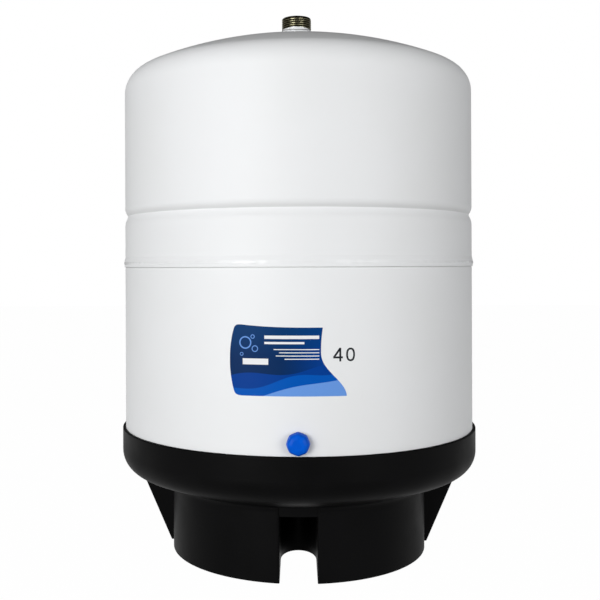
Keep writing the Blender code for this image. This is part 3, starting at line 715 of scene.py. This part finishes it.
@dataclass
class Tank:
    """The two painted shells, with torispherical heads, the rolled groove and the lap seam."""

    radius: float = SHELL_RADIUS
    knuckle: float = 27 * MM
    crown: float = CROWN_RADIUS
    sheet: float = 1.2 * MM
    foot: float = 116 * MM
    top: float = 494 * MM
    seam: float = SEAM
    lap: float = 1.0 * MM
    lap_length: float = 6.6 * MM
    lap_gap: float = 0.3 * MM
    tuck_length: float = 1.5 * MM
    joggle: float = 4 * MM
    groove: float = GROOVE
    groove_depth: float = 3.3 * MM
    upper_flank: float = 5.6 * MM
    lower_flank: float = 7.6 * MM
    groove_fillets: tuple = (11 * MM, 0.9 * MM, 13 * MM)
    ridge: float = 4.4 * MM
    ridge_width: float = 1.5 * MM
    ridge_rise: float = 0.62 * MM
    ridge_wander: float = 0.6 * MM
    edge_wander: float = 0.10 * MM
    hole: float = 16.5 * MM
    boss: float = 1.2 * MM
    boss_foot: float = 46 * MM
    boss_top: float = 24 * MM
    valve_height: float = VALVE_HEIGHT
    valve_hole: float = 4.15 * MM
    columns: int = 432

    def head_height(self) -> float:
        """How far the apex stands over the knuckle's start."""
        return self.crown - sqrt((self.crown - self.knuckle) ** 2 - (self.radius - self.knuckle) ** 2)

    def head(self, start: float) -> np.ndarray:
        """The head's outer line, a crown arc and then a knuckle arc tangent to it, over the knuckle's start.

        Args:
            start: radius at which the line starts on the crown.

        Returns:
            (points, 2) radii and heights, from the crown out to the straight wall.
        """
        turn = asin((self.radius - self.knuckle) / (self.crown - self.knuckle))
        centre = self.head_height() - self.crown
        crown = arc((0, centre), self.crown, pi / 2 - asin(start / self.crown), pi / 2 - turn, 30)
        side = arc((self.radius - self.knuckle, 0), self.knuckle, pi / 2 - turn, 0, 16)
        return np.vstack([crown, side[1:]])

    def upper_line(self) -> np.ndarray:
        """The upper shell's outer line from the connection's hole to the lap's lower edge."""
        wall, lap = self.radius, self.radius + self.lap
        lap_top = self.seam + self.lap_length
        above, crease, below = self.groove_fillets
        body = filleted([
            (wall, self.top - 2 * MM, 0),
            (wall, self.groove + self.upper_flank, above),
            (wall - self.groove_depth, self.groove, crease),
            (wall, self.groove - self.lower_flank, below),
            (wall, lap_top + self.joggle, 3.0 * MM),
            (lap, lap_top, 2.4 * MM),
            (lap, self.seam + 0.6 * MM, 0),
        ])
        head = self.head(self.hole)
        share = np.clip((self.boss_foot - head[:, 0]) / (self.boss_foot - self.boss_top), 0, 1)
        head[:, 1] += self.top + self.boss * share**2 * (3 - 2 * share)
        line = np.vstack([head, supported(body, 8 * MM)])
        band = np.linspace(self.seam + 5.6 * MM, self.seam + 1.0 * MM, 9)
        return np.vstack([line[:-1], np.column_stack([np.full(9, lap), band]), line[-1:]])

    def lumps(self, points: np.ndarray) -> np.ndarray:
        """How far the uneven, painted-over weld ridge and the lap's edge stand out.

        The ridge is a bell curve over height, times a sum of sine waves round the axis.

        Args:
            points: (rows, columns, 3) outer points.

        Returns:
            (rows, columns) distances.
        """
        a, z = np.arctan2(points[..., 1], points[..., 0]), points[..., 2]
        centre = self.seam + self.ridge + self.ridge_wander * ripples(a, 7, 10, 60)
        strength = np.clip(0.45 + 0.5 * ripples(a, 11, 20, 150) + 0.3 * ripples(a, 5, 2, 7, 4), 0, 1.4)
        rise = self.ridge_rise * np.exp(-(((z - centre) / self.ridge_width) ** 2)) * strength
        edge = self.edge_wander * ripples(a, 3, 8, 90) * np.exp(-(((z - self.seam) / self.ridge_width) ** 2))
        return rise + edge

    def build_upper(self) -> None:
        """The upper shell: outer line, rolled lower edge and the inner line a sheet's thickness further in."""
        line = self.upper_line()
        lap = self.radius + self.lap
        edge = np.array([(lap, self.seam + 0.25 * MM), (lap - 0.3 * MM, self.seam), (lap - 0.9 * MM, self.seam)])
        within = inset(line, self.sheet)
        points = turned(np.vstack([line, edge, within[::-3], within[:1]]), self.columns)
        outer = points[: len(line) + 1]
        outer[:] = pushed(outer, self.lumps(outer))
        piece = surface("upper_shell_painted", points, loop_rows=True, loop_columns=True)
        baked(piece, radians(50))
        finish_piece(piece, PAINT, "tank", "white_paint", "upper_shell")

    def build_lower(self) -> None:
        """The lower shell, from inside the lap down to the bottom of the head, with the valve's hole."""
        head = self.head(0.4 * MM)[::-1]
        head[:, 1] = self.foot - head[:, 1]
        tucked = self.radius + self.lap - self.sheet - self.lap_gap
        wall = np.array([
            (tucked, self.seam + self.lap_length - self.lap_gap),
            (tucked, self.seam),
            (self.radius, self.seam - self.tuck_length),
            (self.radius, self.foot + 2 * MM),
        ])
        line = np.vstack([supported(wall, 9 * MM), head])
        piece = turned_solid("lower_shell_painted", np.vstack([inset(line, self.sheet)[::-1], line]), self.columns)
        tube = np.array([(self.valve_hole, 9 * MM), (self.valve_hole, -9 * MM)])
        hole = turned_solid("valve_hole", tube, 48)
        hole.data.transform(Matrix.Translation((0, -self.radius, self.valve_height)) @ Matrix.Rotation(pi / 2, 4, "X"))
        combine(piece, [(hole, Cut.REMOVE)])
        finish_piece(piece, PAINT, "tank", "white_paint", "lower_shell")

    def build(self) -> None:
        """Builds both shells."""
        self.build_upper()
        self.build_lower()


@dataclass
class Connection:
    """The threaded stub on top."""

    radius: float = 16.2 * MM
    bore: float = 11 * MM
    top: float = STUB_TOP
    pitch: float = THREAD_PITCH
    depth: float = 1.15 * MM
    chamfer: float = 0.8 * MM
    shoulder: float = 556.9 * MM
    weld: float = 3.4 * MM
    weld_width: float = 2.2 * MM
    flange: float = 24 * MM
    flange_top: float = 553.26 * MM
    flange_thickness: float = 3.5 * MM
    socket: float = 13.8 * MM
    socket_depth: float = 6.8 * MM
    round: float = 0.3 * MM
    rows: int = 120
    columns: int = 192

    def thread(self, points: np.ndarray) -> np.ndarray:
        """Depth of the thread: a rounded triangle wave of height / pitch - angle / turn, faded at both ends.

        Args:
            points: (rows, columns, 3) points of the plain outer side.

        Returns:
            (rows, columns) depths.
        """
        a, z = np.arctan2(points[..., 1], points[..., 0]), points[..., 2]
        wave = np.abs(2 * ((z / self.pitch - a / (2 * pi)) % 1) - 1)
        wave = np.clip((wave - 0.32) / 0.56, 0, 1)
        start = np.clip((self.top - 0.4 * MM - z) / (0.8 * MM), 0, 1)
        shallow = 0.35 + 0.65 * np.clip((z - (self.top - 13 * MM)) / (2 * MM), 0, 1)
        end = np.clip((z - (self.shoulder + 6 * MM)) / (2 * MM), 0, 1)
        return self.depth * wave * start * shallow * end

    def build(self) -> None:
        """The stub, its weld collar, the part under the shell and the bore with the socket for the liner."""
        r, b, top = self.radius, self.bore, self.top
        foot = self.flange_top - self.flange_thickness
        side_top = top - self.chamfer
        weld_top = self.shoulder + self.weld
        wide = r + self.weld_width
        side = np.column_stack([np.full(self.rows, r), np.linspace(side_top, weld_top + 0.2 * MM, self.rows)])
        rim = filleted([(b + 1.5 * MM, top, 0), (r - 0.7 * MM, top, self.round), (r, side_top, 0)], 4)
        collar = filleted([
            (r, weld_top, 0),
            (r, self.shoulder + 2.2 * MM, 0.8 * MM),
            (wide, self.shoulder + 0.4 * MM, self.round),
            (wide, self.shoulder, 0),
            (r, self.shoulder, 0),
            (r, self.flange_top, 0),
            (self.flange, self.flange_top, self.round),
            (self.flange, foot, self.round),
            (self.socket, foot, self.round),
            (self.socket, foot + self.socket_depth, 0),
            (b, foot + self.socket_depth, self.round),
            (b, side_top, 0),
            (b + self.chamfer, top, 0.4 * MM),
            (b + 1.5 * MM, top, 0),
        ], 4)
        points = turned(np.vstack([rim[:-1], side, collar[:-1]]), self.columns)
        outer = points[len(rim) - 1 : len(rim) - 1 + self.rows]
        outer[:] = pushed(outer, -self.thread(outer))
        piece = surface("connection_threaded", points, loop_rows=True, loop_columns=True)
        baked(piece, radians(48))
        finish_piece(piece, CONNECTION_METAL, "tank", "yellow_zinc", "water_connection")


@dataclass
class Stand:
    """The black moulded stand: a cup under the tank, a skirt, two gussets and the front channel."""

    wall: float = 3 * MM
    gap: float = 0.3 * MM
    tank: float = SHELL_RADIUS
    crown: float = CROWN_RADIUS
    crown_centre: float = 484.57 * MM
    rim: float = 134.3 * MM
    skirt: float = 138.6 * MM
    skirt_fillet: float = 7 * MM
    bend: float = 21.2 * MM
    gusset_tip: float = radians(31)
    gusset_foot: float = 3.4 * MM
    recess_half: float = 18.5 * MM
    recess_ceiling: float = 64.5 * MM
    recess_top: float = 82.6 * MM
    recess_straight: float = 64 * MM
    recess_round: float = 30 * MM
    setback: float = 1.5 * MM
    edge: float = 2.2 * MM
    columns: int = 360
    helper_columns: int = 120
    axis_gap: float = 0.5 * MM
    gusset_low: float = 1.4 * MM
    gusset_half: float = 1.6 * MM

    def under(self, radius: np.ndarray | float, clearance: float) -> np.ndarray | float:
        """Height of a sphere just under the tank's lower crown, at a radius."""
        return self.crown_centre - np.sqrt((self.crown + clearance) ** 2 - np.square(radius))

    def slope(self) -> float:
        """The cup's underside leaves the tank's head at the skirt, at the head's slope there."""
        return asin(self.skirt / self.crown)

    def cup_line(self, clearance: float) -> list:
        """The cup's line at a clearance from the tank.

        Args:
            clearance: distance kept from the tank at the wall and at the skirt.

        Returns:
            Corners of (radius, height, fillet): the rounded bend and the skirt.
        """
        wall, foot = self.tank + clearance, self.under(self.skirt, clearance)
        corner = foot + (wall - self.skirt) * tan(self.slope())
        return [(wall, corner, self.bend + clearance), (self.skirt, foot, 0)]

    def on_bend(self, clearance: float, angle: float) -> tuple:
        """The point of the cup's bend at an angle out from straight down.

        Args:
            clearance: distance from the tank.
            angle: the angle.

        Returns:
            Radius and height.
        """
        wall, corner, bend = self.cup_line(clearance)[0]
        middle = corner + bend * (1 / cos(self.slope()) - tan(self.slope()))
        return wall - bend + bend * sin(angle), middle - bend * cos(angle)

    def profile(self) -> np.ndarray:
        """The closed section: outer line down, foot, then up to the tank and inside the cup."""
        bore, outside = self.skirt - self.wall, self.gap + self.wall
        bend, (_, corner, _) = self.cup_line(outside)
        corners = [
            (self.tank + outside, self.rim, 1.2 * MM),
            bend,
            (self.skirt, corner, self.skirt_fillet),
            (self.skirt, 0, 0.7 * MM),
            (bore, 0, 0.7 * MM),
            (bore, self.under(bore, self.gap), 0.4 * MM),
            *self.cup_line(self.gap)[::-1],
            (self.tank + self.gap, self.rim, 1.0 * MM),
        ]
        return supported(filleted(corners, 12, closed=True), 10 * MM, closed=True)

    def channel(self, extra: float, mouth: float, flared: bool) -> np.ndarray:
        """The front channel in plan: straight sides and a half-ellipse end, counter-clockwise.

        Args:
            extra: how much wider than the channel, in metres.
            mouth: distance of its open end from the axis.
            flared: whether the sides open at the skirt in a quarter circle, which rounds the skirt's edges.

        Returns:
            (points, 2) array.
        """
        half, depth = self.recess_half + extra, self.recess_round + extra
        t = np.linspace(0, pi, 41)
        end = np.column_stack([half * np.cos(t), depth * np.sin(t) - self.recess_straight])
        right = np.array([(half, -mouth)])
        if flared:
            face = sqrt(self.skirt**2 - (half + self.edge) ** 2)
            curve = arc((half + self.edge, -(face - self.edge)), self.edge, 1.5 * pi, pi, 9)
            right = np.vstack([[(half + self.edge, -mouth)], curve])
        left = right[::-1] * (-1, 1)
        return np.vstack([right, end, left])

    def over_crown(self, name: str, clearance: float, ceiling: float, reach: float) -> bpy.types.Object:
        """A helper of all that lies over a ceiling or over the tank's underside, out to a radius.

        Args:
            name: the helper's name.
            clearance: distance kept from the tank.
            ceiling: height of the flat part.
            reach: its outer radius.

        Returns:
            The helper object.
        """
        r = np.linspace(reach, self.axis_gap, 40)
        z = np.minimum(self.under(r, clearance), ceiling)
        line = np.vstack([[(self.axis_gap, self.rim), (reach, self.rim)], np.column_stack([r, z])])
        return turned_solid(name, line, self.helper_columns)

    def over_cup(self) -> bpy.types.Object:
        """A helper of all that lies over the cup's underside."""
        (wall, corner, _), (skirt, foot, _) = self.cup_line(self.wall + 2 * self.gap)
        inner = self.axis_gap
        line = np.array([(inner, self.rim), (wall, self.rim), (wall, corner), (skirt, foot), (inner, foot)])
        return turned_solid("cup_floor", line, self.helper_columns)

    def gusset(self, side: int) -> bpy.types.Object:
        """One of the two side plates, standing in the plane y = 0.

        Args:
            side: 1 for the right one and -1 for the left one.

        Returns:
            The helper object.
        """
        middle = self.gap + self.wall / 2
        heel = self.skirt - self.wall / 2
        low, half = self.gusset_low, self.gusset_half
        foot = [(heel, low), (self.skirt + self.gusset_foot, low)]
        top = [self.on_bend(middle, self.gusset_tip), self.on_bend(middle, self.slope())]
        line = np.array(foot + top + [(heel, self.under(heel, middle))])
        line[:, 0] *= side
        made = plate("gusset", line[::side], -half, half, Matrix.Rotation(pi / 2, 4, "X"))
        bevel = made.modifiers.new("edges", "BEVEL")
        bevel.width, bevel.segments = 0.5 * MM, 2
        return baked(made)

    def build(self) -> None:
        """Turns the section, adds the gussets and the channel's walls, and opens the channel."""
        piece = turned_solid("stand_moulding", self.profile(), self.columns, closed=True)
        mouth = sqrt((self.skirt - self.wall / 2) ** 2 - (self.recess_half + self.wall) ** 2)
        walls = plate("channel_wall", self.channel(self.wall, mouth, False), 0, self.recess_ceiling + self.wall)
        combine(walls, [(self.over_crown("tank_room", self.gap, self.rim - MM, 150 * MM), Cut.REMOVE)])
        opening = plate("channel_room", self.channel(0, 185 * MM, True), -5 * MM, self.recess_top)
        outside = self.gap + self.wall
        roof = self.over_crown("channel_roof", outside, self.recess_ceiling, self.skirt - self.setback)
        combine(opening, [(roof, Cut.REMOVE), (self.over_cup(), Cut.REMOVE)])
        combine(piece, [(self.gusset(1), Cut.ADD), (self.gusset(-1), Cut.ADD), (walls, Cut.ADD), (opening, Cut.REMOVE)])
        finish_piece(piece, STAND_PLASTIC, "tank", "black_plastic", "base_stand")


@dataclass
class Label:
    """The sticker and the plain number beside it, both lying on the shell's cylinder."""

    radius: float = SHELL_RADIUS
    lift: float = 0.06 * MM
    thickness: float = 0.12 * MM
    seam: float = SEAM
    left: float = -62.8 * MM
    corner: float = -56.5 * MM
    top_right: float = 23.2 * MM
    foot_right: float = 44.8 * MM
    top_left_drop: float = 51.6 * MM
    top_right_drop: float = 54.8 * MM
    corner_round: float = 3.5 * MM
    foot_drop: float = 118 * MM
    waist: float = 21.4 * MM
    sweep: float = 0.64
    rows: int = 96
    columns: int = 128
    number_azimuths: tuple = (9.9, 13.4)
    number_foot: float = 220.2 * MM
    number_height: float = 12.4 * MM
    number_width: float = 8.4 * MM
    stroke: float = 1.75 * MM
    ink: tuple = (0.03 * MM, 0.12 * MM)

    def sides(self, share: np.ndarray) -> tuple:
        """Left and right edges, as seen from the front, at shares of the height from the foot to the top.

        Args:
            share: heights from 0 to 1.

        Returns:
            Left and right distances across.
        """
        bow = np.sin(pi * share) ** 0.6
        left = self.corner + (self.left - self.corner) * bow
        high = self.foot_drop - self.top_left_drop
        near = np.clip(1 - np.minimum(share, 1 - share) * high / self.corner_round, 0, 1)
        left = left + self.corner_round * (1 - np.sqrt(1 - near**2))
        blend = (1 + np.cos(pi * np.minimum(share / self.sweep, 1))) / 2
        rest = np.maximum(share - self.sweep, 0) / (1 - self.sweep)
        right = self.waist + (self.foot_right - self.waist) * blend**1.15 + (self.top_right - self.waist) * rest**2
        return left, right

    def build_film(self) -> None:
        """The film: rows between the two edges, laid on the cylinder by azimuth = asin(across / radius)."""
        share = np.linspace(0, 1, self.rows)[:, None]
        left, right = self.sides(share)
        x = left + (right - left) * np.linspace(0, 1, self.columns)[None, :]
        foot = self.seam - self.foot_drop
        across = np.clip((self.top_right - x) / (self.top_right - self.corner), 0, 1)
        top = self.seam - self.top_right_drop + (self.top_right_drop - self.top_left_drop) * across**3
        z = foot + (top - foot) * share
        azimuth = np.arcsin(x / self.radius)
        low = self.radius + self.lift
        piece = bent_sheet("label_sticker", low, low + self.thickness, azimuth, z)
        start = asin(self.left / self.radius)
        place = np.stack([(azimuth - start) * self.radius, z - foot], axis=-1) / UV_UNIT
        rim = self.distance_to(self.outline(x, z), np.stack([x.ravel(), z.ravel()], axis=-1))
        self.map_print(piece, place, rim.reshape(x.shape))
        baked(piece)
        finish_piece(piece, LABEL_FILM, "tank", "label_film", "label")

    @staticmethod
    def map_print(piece: bpy.types.Object, place: np.ndarray, rim: np.ndarray) -> None:
        """Gives the film its UV map and the attribute rim, alike on both sides.

        Args:
            piece: the film.
            place: (rows, columns, 2) arc length and height in UV units.
            rim: (rows, columns) distances to the edge.
        """
        mesh = piece.data
        place, rim = (np.concatenate([grid, grid[::-1]]) for grid in (place, rim))
        corner = np.empty(len(mesh.loops), np.int32)
        mesh.loops.foreach_get("vertex_index", corner)
        mesh.uv_layers.new(name="print").data.foreach_set("uv", place.reshape(-1, 2)[corner].ravel())
        mesh.attributes.new("rim", "FLOAT", "POINT").data.foreach_set("value", rim.ravel())

    @staticmethod
    def outline(x: np.ndarray, z: np.ndarray) -> np.ndarray:
        """The border of a grid as one closed line of (x, z) points."""
        ring = [(x[0], z[0]), (x[:, -1], z[:, -1]), (x[-1, ::-1], z[-1, ::-1]), (x[::-1, 0], z[::-1, 0])]
        return np.vstack([np.column_stack([np.broadcast_to(a, b.shape), b]) for a, b in ring])

    @staticmethod
    def distance_to(line: np.ndarray, points: np.ndarray) -> np.ndarray:
        """Distance from each point to the nearest stretch of a closed line, measured square to the stretch.

        Args:
            line: (n, 2) points of the line.
            points: (m, 2) points.

        Returns:
            m distances.
        """
        start, end = line, np.roll(line, -1, axis=0)
        step = end - start
        length = np.maximum((step**2).sum(axis=1), 1e-18)
        best = np.full(len(points), np.inf)
        for part in np.array_split(np.arange(len(points)), 24):
            away = points[part][:, None, :] - start[None]
            share = np.clip((away * step[None]).sum(axis=2) / length[None], 0, 1)
            near = away - share[..., None] * step[None]
            best[part] = np.sqrt((near**2).sum(axis=2)).min(axis=1)
        return best

    def ribbon(self, name: str, path: np.ndarray, closed: bool) -> None:
        """A printed stroke: the path widened by half a stroke to each side, laid on the cylinder.

        Args:
            name: the piece's name.
            path: (points, 2) arc length and height.
            closed: whether the path is a loop.
        """
        step = np.roll(path, -1, axis=0) - np.roll(path, 1, axis=0) if closed else np.gradient(path, axis=0)
        step /= np.hypot(step[:, 0], step[:, 1])[:, None]
        side = np.stack([-step[:, 1], step[:, 0]], axis=-1) * self.stroke / 2
        edges = np.stack([path + side, path - side])
        low, high = (self.radius + rise for rise in self.ink)
        piece = bent_sheet(name, low, high, edges[..., 0] / self.radius, edges[..., 1], closed)
        baked(piece, radians(30))
        finish_piece(piece, NUMBER_INK, "tank", "label_film")

    def build_number(self) -> None:
        """The plain number 40, drawn with strokes of one width."""
        foot, high, wide = self.number_foot, self.number_height, self.number_width
        four = self.radius * radians(self.number_azimuths[0])
        zero = self.radius * radians(self.number_azimuths[1]) + wide / 2
        t = np.linspace(0, 1, 12)[:, None]
        stem = np.array([(four + 0.72 * wide, foot)]) + t * np.array([(0, high)])
        slope = np.array([(four + 0.72 * wide, foot + high - 0.4 * MM)]) + t * np.array([(-0.72 * wide, -0.68 * high)])
        bar = np.array([(four - 0.4 * MM, foot + 0.30 * high)]) + t * np.array([(wide + 0.4 * MM, 0)])
        for name, path in (("number_four_stem", stem), ("number_four_slope", slope), ("number_four_bar", bar)):
            self.ribbon(name, path, False)
        a = angles(64)
        half = np.array([wide / 2 - self.stroke / 2, high / 2 - self.stroke / 2])
        oval = np.stack([np.cos(a), np.sin(a)], axis=-1)
        oval = np.sign(oval) * np.abs(oval) ** 0.85 * half + (zero, foot + high / 2)
        self.ribbon("number_zero", oval, True)

    def build(self) -> None:
        """Builds the film and the number."""
        self.build_film()
        self.build_number()


@dataclass
class ValveCap:
    """The blue screw cap: eight slightly rounded facets that taper in three steps to a small face."""

    radius: float = 10.9 * MM
    face: float = 5.5 * MM
    low: float = 191.7 * MM
    length: float = 9.4 * MM
    skirt: float = 2.2 * MM
    skirt_bore: float = 8 * MM
    bore: float = 4.15 * MM
    nut_top: float = 194.5 * MM
    seat: float = 199.8 * MM
    height: float = VALVE_HEIGHT
    facets: int = 8
    columns: int = 160
    sharpness: float = 46.0
    facet_depth: float = 0.65
    steps: tuple = (0.85, 0.55, 0.0)
    axis_gap: float = 0.1 * MM

    def facet_radius(self, a: np.ndarray) -> np.ndarray:
        """Radius of a rounded polygon: 1 over the p-norm of the cosines to each facet's normal.

        Args:
            a: angles.

        Returns:
            Radii, 1 at the corners of the sharp polygon.
        """
        normals = (np.arange(self.facets) + 0.5) * 2 * pi / self.facets
        near = np.maximum(np.cos(a[:, None] - normals[None]), 0) / cos(pi / self.facets)
        polygon = 1 / (near**self.sharpness).sum(axis=1) ** (1 / self.sharpness)
        return 1 - self.facet_depth * (1 - polygon / polygon.max())

    def build(self) -> None:
        """The outer facets, the skirt's bore and the threaded socket, as one closed surface."""
        top = self.low + self.length
        shoulder = self.low + self.skirt
        taper = [(self.face + (self.radius - self.face) * sqrt(1 - s * s), shoulder + (top - shoulder) * s, 0.5 * MM)
                 for s in self.steps]
        outer = [(self.axis_gap, top, 0), (self.face, top, 0.3 * MM), *taper, (self.radius, self.low, 0.35 * MM),
                 (self.skirt_bore, self.low, 0.2 * MM), (self.skirt_bore, self.nut_top, 0)]
        line = supported(filleted(outer, 5), 1.2 * MM)
        bore = filleted([(self.skirt_bore, self.nut_top, 0), (self.bore, self.nut_top, 0.3 * MM),
                         (self.bore, self.seat, 0), (self.axis_gap, self.seat, 0)], 4)[1:]
        a = angles(self.columns)
        polygon = self.facet_radius(a)[None, :]
        r, z = line[:, :1], line[:, 1:]
        faceted = (z > shoulder) | (r > self.skirt_bore + 0.15 * MM)
        rows = np.concatenate([r * np.where(faceted, polygon, 1), bore[:, :1] + 0 * polygon])
        z = np.concatenate([z, bore[:, 1:]])
        points = np.stack([rows * np.cos(a), rows * np.sin(a), z + 0 * rows], axis=-1)
        piece = surface("valve_cap_blue", points, loop_columns=True, poles=True)
        piece.data.transform(Matrix.Translation((0, 0, self.height)) @ Matrix.Rotation(pi / 2, 4, "X"))
        baked(piece, radians(55))
        finish_piece(piece, CAP_PLASTIC, "cap", "blue_plastic", "valve_cap")


@dataclass
class Lamp:
    """One soft lamp, a white rectangle that faces the tank."""

    name: str
    place: tuple
    size: tuple
    power: float
    mirrored: bool = True


@dataclass
class Studio:
    """Pale floor and surroundings, soft lamps and the camera of the photograph."""

    eye: tuple = (0.0, -1.005, 0.307)
    lens: float = 53.87
    sensor: float = 36.0
    shift: tuple = (0.0578, -0.0561)
    roll: float = radians(-0.22)
    yaw: float = radians(2.05)
    floor_half: float = 6.0
    floor_shades: tuple = ((0.33, 0.33, 0.33), (0.35, 0.35, 0.35))
    floor_seen: float = 0.99
    floor_mirrored: float = 0.8
    ambient: float = 0.12
    overhead: float = 0.06
    aim: tuple = (0, 0, 0.3)
    lamps: list = field(default_factory=lambda: [
        Lamp("key", (-1.20, -2.08, 0.54), (1.1, 1.04), 36.0),
        Lamp("fill", (1.48, -1.89, 0.54), (1.1, 1.04), 20.5),
        Lamp("left", (-2.32, -0.62, 0.64), (1.2, 1.2), 11.5, mirrored=False),
        Lamp("right", (2.40, 0.0, 0.62), (1.2, 1.2), 8.0, mirrored=False),
    ])

    def build_floor(self) -> None:
        """A wide pale floor, white to the camera but keeping the tank's shadow."""
        corners = np.array([(-1, -1, 0), (1, -1, 0), (1, 1, 0), (-1, 1, 0)]) * self.floor_half
        floor = new_piece("floor", corners, [[0, 1, 2, 3]])
        made = bpy.data.materials.new("look_floor")
        wire = Wiring.of(made)
        path = wire.node("LightPath").outputs
        seen, mirrored = path["Is Camera Ray"], path["Is Glossy Ray"]
        share = wire.math("MAXIMUM", wire.product(seen, self.floor_seen), wire.product(mirrored, self.floor_mirrored))
        cloud = wire.node("TexNoise", {"Vector": wire.place(), "Scale": 3.0}).outputs["Fac"]
        pale = wire.mix(seen, wire.mix(cloud, *self.floor_shades), (1, 1, 1))
        matte = wire.node("BsdfDiffuse", {"Color": pale}).outputs[0]
        white = wire.node("Emission", {"Color": (1, 1, 1, 1), "Strength": 1.0}).outputs[0]
        mixed = wire.node("MixShader", {0: share, 1: matte, 2: white}).outputs[0]
        wire.node("OutputMaterial", {"Surface": mixed})
        floor.data.materials.append(made)

    def build_world(self) -> None:
        """White where it is seen, and a dimmer even light on the tank."""
        world = bpy.context.scene.world = bpy.data.worlds.new("studio")
        wire = Wiring.of(world)
        path = wire.node("LightPath").outputs
        seen = wire.math("MAXIMUM", path["Is Camera Ray"], path["Is Transmission Ray"])
        up = wire.axes(wire.node("TexCoord").outputs["Generated"])[2]
        even = wire.ramp(up, 0.1, 0.9, self.ambient, self.overhead)
        strength = wire.total(wire.product(even, wire.math("SUBTRACT", 1.0, seen)), seen)
        sky = wire.node("Background", {"Color": (1, 1, 1, 1), "Strength": strength}).outputs[0]
        wire.node("OutputWorld", {"Surface": sky})

    def build_lamps(self) -> None:
        """Places the lamps, each turned to the aim."""
        for lamp in self.lamps:
            data = bpy.data.lights.new(lamp.name, "AREA")
            data.shape = "RECTANGLE"
            data.size, data.size_y = lamp.size
            data.energy = lamp.power
            made = bpy.data.objects.new(lamp.name, data)
            made.location = lamp.place
            made.visible_glossy = lamp.mirrored
            made.rotation_euler = (Vector(self.aim) - Vector(lamp.place)).to_track_quat("-Z", "Y").to_euler()
            bpy.context.scene.collection.objects.link(made)

    def build_camera(self) -> None:
        """The camera, level and looking nearly along +Y, with the photograph's frame set by a small shift."""
        data = bpy.data.cameras.new("camera")
        data.lens, data.sensor_width = self.lens, self.sensor
        data.shift_x, data.shift_y = self.shift
        camera = bpy.data.objects.new("camera", data)
        turn = Matrix.Rotation(self.yaw, 4, "Z") @ Matrix.Rotation(pi / 2, 4, "X")
        camera.matrix_world = Matrix.Translation(self.eye) @ turn @ Matrix.Rotation(self.roll, 4, "Z")
        bpy.context.scene.collection.objects.link(camera)
        bpy.context.scene.camera = camera

    def build(self) -> None:
        """Builds the whole studio."""
        self.build_floor()
        self.build_world()
        self.build_lamps()
        self.build_camera()
        bpy.context.scene.view_settings.view_transform = "Standard"


def dress_carried_over() -> None:
    """Gives each CAD node that stays its finish."""
    for finish, names in CARRIED_OVER.items():
        for name in names:
            dress(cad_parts[name], finish)
            LOG.info("%s: carried over", name)


def compress_spring() -> None:
    """Gives the core's spring a mesh of its own; nothing here shortens it."""
    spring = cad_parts["core_spring"]
    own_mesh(spring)


def main() -> None:
    """Builds every sub-assembly in order."""
    logging.basicConfig(level=logging.INFO, format="%(name)s: %(message)s")
    for part in (Tank(), Connection(), Stand(), Label(), ValveCap(), Studio()):
        part.build()
        LOG.info("%s done", type(part).__name__)
    dress_carried_over()
    compress_spring()


if __name__ == "__main__":
    main()
